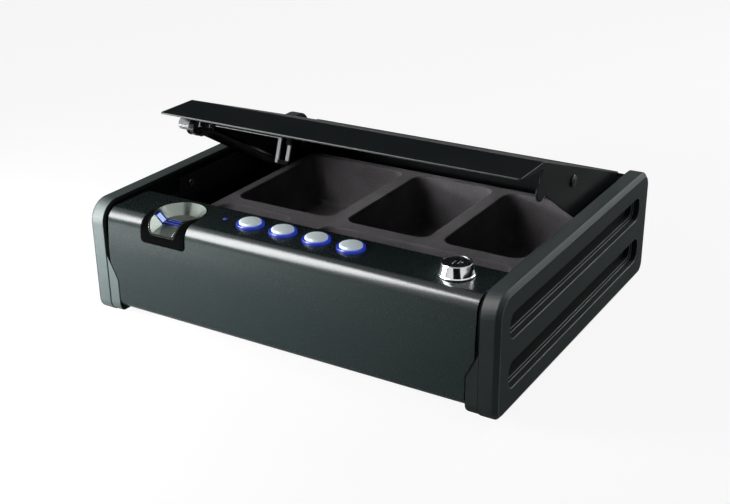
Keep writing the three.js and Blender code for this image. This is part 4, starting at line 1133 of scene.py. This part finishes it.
class SAFE_OT_gas_stay(Operator):
    """Model the gas stay's tube, rod, lid stud and floor bracket, and the lid arm's stud group"""

    bl_idname = "safe.gas_stay"
    bl_label = "Gas Stay"

    def execute(self, context):
        sizes = context.scene.safe_sizes
        for node in ("stay_tube", "stay_rod", "stay_bracket"):
            dressed(node, sizes.fine_edge)
        dressed("stay_stud_lid", sizes.fine_edge, slot="black")
        self.stud_group(sizes)
        return {"FINISHED"}

    def stud_group(self, sizes):
        """The stud at the front of the lid's left arm, its lug with a round nose, and two shims."""
        head = turned_across("arm_stud_head", *STUD_AXIS, STUD_PROFILE, sizes.round_sides)
        leaned(eased(head, 0.0, smooth=40.0))
        added(head, "zinc", "lid")
        lug = block("arm_lug", LUG_LOW, LUG_HIGH)
        rounded(lug, sizes.moulded_edge)
        nose = turned_across("arm_nose", *NOSE_AXIS, NOSE_PROFILE, sizes.round_sides)
        lug = leaned(eased(one_piece("arm_lug", lug, nose), 0.0))
        added(lug, "black", "lid")
        for name, y, z, wide, tall in SHIMS:
            shim = block(name, (SHIM_LEFT, y - wide, z - tall), (SHIM_RIGHT, y + wide, z + tall))
            rounded(shim, sizes.moulded_edge, 3)
            leaned(shaded(shim))
            added(shim, "chrome", "lid")


class SAFE_OT_tray(Operator):
    """Model the lift-out velour tray and the felt mat below it"""

    bl_idname = "safe.tray"
    bl_label = "Tray"

    def execute(self, context):
        sizes = context.scene.safe_sizes
        dressed("tray", sizes.tray_edge, 3, 34.0, 46.0)
        dressed("floor_mat", sizes.sheet_edge)
        return {"FINISHED"}


class SAFE_OT_wall_screws(Operator):
    """Model the four screws in the box's side walls"""

    bl_idname = "safe.wall_screws"
    bl_label = "Wall Screws"

    def execute(self, context):
        sizes = context.scene.safe_sizes
        for side in ("left", "right"):
            for place in ("front", "rear"):
                dressed(f"wall_screw_{side}_{place}", sizes.fine_edge, slot="black")
        return {"FINISHED"}


class SAFE_OT_feet(Operator):
    """Model the four rubber feet"""

    bl_idname = "safe.feet"
    bl_label = "Rubber Feet"

    def execute(self, context):
        sides = context.scene.safe_sizes.round_sides // 2
        for corner in ("front_left", "front_right", "rear_left", "rear_right"):
            node = f"foot_{corner}"
            finished(round_piece(node, self.foot, sides, 40.0), node)
        return {"FINISHED"}

    def foot(self, wide, low, top):
        """A softened sole under a straight side."""
        sole = [(wide - inset, low + rise) for inset, rise in FOOT_SOLE]
        return [*sole, (wide, top)]


class SAFE_OT_inner_works(Operator):
    """Finish the board, cells, holder, latch and lock works inside"""

    bl_idname = "safe.inner_works"
    bl_label = "Inner Works"

    def execute(self, context):
        sizes = context.scene.safe_sizes
        for node in SOFTENED_INSIDE:
            dressed(node, sizes.fine_edge)
        self.return_spring()
        for node, carried in nodes.items():
            if not carried.hide_render:
                carried.data.materials.clear()
                carried.data.materials.append(finishes[SLOT_OF[node]])
        return {"FINISHED"}

    def return_spring(self):
        """The bolt's coil spring, with a mesh of its own."""
        spring = dressed("latch_spring", 0.0)
        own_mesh(spring)


# Stage


TRAY, DISH, HOUSING = "tray_dressed", "reader_dish_dressed", "control_housing_dressed"
SMALL_TRIMS = (
    "reader_bezel_dressed",
    "lid_striker_dressed",
    "striker_sleeve",
    "striker_clip",
    "striker_head",
    "striker_strip",
    "arm_stud_head",
    "arm_lug",
    "front_shim",
    "rear_shim",
    "stay_stud_lid_dressed",
    "stay_tube_dressed",
)
SHOWN_WHITE_TO = ("Is Camera Ray", "Is Glossy Ray", "Is Transmission Ray")
WORLD_WHITE, WORLD_EVEN = 1.0, 0.06
FLOOR_RADIUS, FLOOR_DEPTH, FLOOR_SIDES = 2.0, 0.02, 96
FLOOR_GLOW, FLOOR_GLOW_SHARE = 1.25, 0.72

CAMERA_PLACE = (0.399253, -0.668529, 0.372767)
CAMERA_TURN, CAMERA_RISE, CAMERA_ROLL = 31.507, 23.639, -0.651
CAMERA_LENS, CAMERA_SENSOR = 58.851, 36.0


def area_light(name, place, target, size, power, glossy_only=False, lit=(), unlit=()):
    """A softbox aimed at a point, which can light some pieces alone or leave some out."""
    lamp = bpy.data.lights.new(name, "AREA")
    lamp.shape = "RECTANGLE"
    lamp.size, lamp.size_y = size
    lamp.energy = power
    holder = bpy.data.objects.new(name, lamp)
    holder.location = place
    holder.rotation_euler = (Vector(target) - Vector(place)).to_track_quat("-Z", "Y").to_euler()
    holder.visible_diffuse = not glossy_only
    holder.visible_camera = False
    bpy.context.scene.collection.objects.link(holder)
    if lit or unlit:
        chosen = bpy.data.collections.new(name + "_receivers")
        holder.light_linking.receiver_collection = chosen
        for piece in (*lit, *unlit):
            chosen.objects.link(bpy.data.objects[piece])
        if unlit:
            for member in chosen.collection_objects:
                member.light_linking.link_state = "EXCLUDE"
    return holder


def glossy_card(name, place, target, size, tone):
    """A dark card out of the camera's sight that only shiny surfaces see."""
    only()
    bpy.ops.mesh.primitive_plane_add(size=1.0, location=place)
    card = bpy.context.object
    card.name = card.data.name = name
    card.scale = (size[0], size[1], 1.0)
    card.rotation_euler = (Vector(target) - Vector(place)).to_track_quat("Z", "Y").to_euler()
    cloth = Finish(name + "_cloth", Roughness=1.0, Specular_IOR_Level=0.0)
    cloth.feed(Base_Color=cloth.mix(cloth.noise(8.0), tone, shade(tone, 1.3)))
    card.data.materials.append(cloth.material)
    card.visible_camera = False
    card.visible_diffuse = False
    card.visible_shadow = False
    card.visible_transmission = False


def floor_material():
    """Pale floor that keeps the safe's shadow but shows white to the camera."""
    finish = Finish("studio_floor_white", Roughness=0.9, Specular_IOR_Level=0.1)
    paper = finish.noise(40.0, 3.0)
    finish.feed(Base_Color=finish.mix(paper, (0.44, 0.44, 0.44), (0.46, 0.46, 0.46)))
    seen = finish.node("ShaderNodeLightPath", output="Is Camera Ray")
    light = finish.tree.nodes.new("ShaderNodeEmission")
    light.inputs["Color"].default_value = (1.0, 1.0, 1.0, 1.0)
    light.inputs["Strength"].default_value = FLOOR_GLOW
    mixer = finish.tree.nodes.new("ShaderNodeMixShader")
    finish.fill(mixer.inputs[0], seen * FLOOR_GLOW_SHARE)
    finish.tree.links.new(finish.shader.outputs[0], mixer.inputs[1])
    finish.tree.links.new(light.outputs[0], mixer.inputs[2])
    finish.tree.links.new(mixer.outputs[0], finish.output.inputs[0])
    return finish.material


def studio_world():
    """White to the camera and to gloss and glass, and a lower even light for the rest."""
    world = bpy.data.worlds.new("studio_world")
    bpy.context.scene.world = world
    world.use_nodes = True
    tree = world.node_tree
    tree.nodes.clear()
    output = tree.nodes.new("ShaderNodeOutputWorld")
    path = tree.nodes.new("ShaderNodeLightPath")
    white = tree.nodes.new("ShaderNodeBackground")
    white.inputs["Strength"].default_value = WORLD_WHITE
    even = tree.nodes.new("ShaderNodeBackground")
    even.inputs["Strength"].default_value = WORLD_EVEN
    mixer = tree.nodes.new("ShaderNodeMixShader")
    shown = None
    for ray in SHOWN_WHITE_TO:
        if shown is None:
            shown = path.outputs[ray]
            continue
        larger = tree.nodes.new("ShaderNodeMath")
        larger.operation = "MAXIMUM"
        tree.links.new(shown, larger.inputs[0])
        tree.links.new(path.outputs[ray], larger.inputs[1])
        shown = larger.outputs[0]
    tree.links.new(shown, mixer.inputs[0])
    tree.links.new(even.outputs[0], mixer.inputs[1])
    tree.links.new(white.outputs[0], mixer.inputs[2])
    tree.links.new(mixer.outputs[0], output.inputs[0])


class SAFE_OT_stage(Operator):
    """Set up the floor, the light and the camera"""

    bl_idname = "safe.stage"
    bl_label = "Stage"

    def execute(self, context):
        context.scene.view_settings.view_transform = "Standard"
        studio_world()
        self.floor()
        self.cards()
        self.lights()
        self.camera(context.scene)
        return {"FINISHED"}

    def floor(self):
        """A wide round floor under the safe."""
        only()
        bpy.ops.mesh.primitive_circle_add(
            vertices=FLOOR_SIDES, radius=FLOOR_RADIUS, fill_type="NGON", location=(0, 0, 0)
        )
        floor = bpy.context.object
        floor.name = floor.data.name = "studio_floor"
        editing(floor)
        bpy.ops.mesh.extrude_region_move(TRANSFORM_OT_translate={"value": (0, 0, -FLOOR_DEPTH)})
        bpy.ops.mesh.select_all(action="SELECT")
        bpy.ops.mesh.normals_make_consistent(inside=False)
        modelled()
        floor.data.materials.append(floor_material())

    def cards(self):
        """Each card's name, place, aim, size and tone."""
        for card in (
            ("behind", (-0.9, 1.5, 0.95), (0.0, 0.1, 0.1), (2.6, 1.7), (0.012, 0.013, 0.014)),
            ("front", (0.9, -1.55, 0.45), (0.1, -0.1, 0.08), (1.5, 0.9), (0.006, 0.006, 0.007)),
            ("dish", (-0.14, -0.84, 0.75), (-0.1, -0.1, 0.08), (0.55, 0.4), (0.02, 0.022, 0.02)),
        ):
            glossy_card("dark_card_" + card[0], *card[1:])

    def lights(self):
        """Each light's name, place, aim, size and power, then whom it lights."""
        area_light(
            "band_softbox",
            (-0.52, -0.57, 0.675),
            (-0.09, -0.12, 0.08),
            (0.42, 0.85),
            31.0,
            glossy_only=True,
            unlit=(DISH, *SMALL_TRIMS),
        )
        area_light(
            "tray_softbox", (-0.35, -0.72, 0.42), (0.0, 0.02, 0.05), (0.35, 0.35), 3.4, lit=(TRAY,)
        )
        area_light(
            "left_softbox",
            (-0.38, -0.35, 0.095),
            (-0.12, -0.12, 0.045),
            (0.3, 0.16),
            5.4,
            unlit=(*SMALL_TRIMS, "end_panel_right_dressed", HOUSING),
        )
        front = area_light(
            "front_softbox",
            (-0.12, -0.31, 0.095),
            (-0.1, -0.12, 0.05),
            (0.3, 0.16),
            0.8,
            lit=(HOUSING,),
        )
        front.visible_glossy = False
        kicker = area_light(
            "dish_kicker", (0.82, 0.53, 0.49), (-0.1, -0.12, 0.08), (0.4, 0.4), 7.0, True, (DISH,)
        )
        kicker.light_linking.blocker_collection = kicker.light_linking.receiver_collection
        rear_aim = (0.13, 0.0, 0.07)
        area_light("rear_softbox", (0.52, 0.94, 0.735), rear_aim, (0.5, 0.5), 3.2)
        area_light("rear_glint", (0.50, 0.97, 0.72), rear_aim, (0.6, 0.6), 4.0, True)
        area_light("top_softbox", (0.0, 0.0, 1.2), (0.0, 0.0, 0.0), (0.8, 0.8), 0.6)

    def camera(self, scene):
        """The photograph's view, turned, raised and rolled about the safe."""
        turn, rise, roll = map(math.radians, (CAMERA_TURN, CAMERA_RISE, CAMERA_ROLL))
        level = math.cos(rise)
        back = Vector((math.sin(turn) * level, -math.cos(turn) * level, math.sin(rise)))
        right = Vector((math.cos(turn), math.sin(turn), 0.0))
        up = back.cross(right)
        turned_right = right * math.cos(roll) + up * math.sin(roll)
        turned_up = up * math.cos(roll) - right * math.sin(roll)
        lens = bpy.data.cameras.new("photo_camera")
        lens.sensor_width = CAMERA_SENSOR
        lens.lens = CAMERA_LENS
        camera = bpy.data.objects.new("photo_camera", lens)
        axes = Matrix((turned_right, turned_up, back)).transposed().to_4x4()
        camera.matrix_world = Matrix.Translation(CAMERA_PLACE) @ axes
        scene.collection.objects.link(camera)
        scene.camera = camera


PIECES = (
    SAFE_OT_end_panels,
    SAFE_OT_steel_box,
    SAFE_OT_control_housing,
    SAFE_OT_finger_reader,
    SAFE_OT_buttons,
    SAFE_OT_status_lamp,
    SAFE_OT_key_lock,
    SAFE_OT_lid,
    SAFE_OT_hinge_arms,
    SAFE_OT_gas_stay,
    SAFE_OT_tray,
    SAFE_OT_wall_screws,
    SAFE_OT_feet,
    SAFE_OT_inner_works,
    SAFE_OT_stage,
)


class SAFE_PT_sidebar(Panel):
    """Sizes, colours and pieces of the safe"""

    bl_idname = "SAFE_PT_sidebar"
    bl_label = "Portable Car Safe"
    bl_space_type = "VIEW_3D"
    bl_region_type = "UI"
    bl_category = "Car Safe"

    def draw(self, context):
        for group in (context.scene.safe_sizes, context.scene.safe_colours):
            box = self.layout.box()
            for name in group.bl_rna.properties.keys():
                if name not in {"rna_type", "name"}:
                    box.prop(group, name)
        for piece in PIECES:
            self.layout.operator(piece.bl_idname)


CLASSES = (SafeSizes, SafeColours, *PIECES, SAFE_PT_sidebar)


def register():
    for each in CLASSES:
        bpy.utils.register_class(each)
    bpy.types.Scene.safe_sizes = PointerProperty(type=SafeSizes)
    bpy.types.Scene.safe_colours = PointerProperty(type=SafeColours)


def unregister():
    del bpy.types.Scene.safe_colours
    del bpy.types.Scene.safe_sizes
    for each in reversed(CLASSES):
        bpy.utils.unregister_class(each)


def main():
    register()
    finishes.update(finish_table(bpy.context.scene.safe_colours))
    finishes.update(extra_finishes(bpy.context.scene.safe_colours))
    for piece in PIECES:
        group, action = piece.bl_idname.split(".")
        getattr(getattr(bpy.ops, group), action)()


if __name__ == "__main__":
    main()
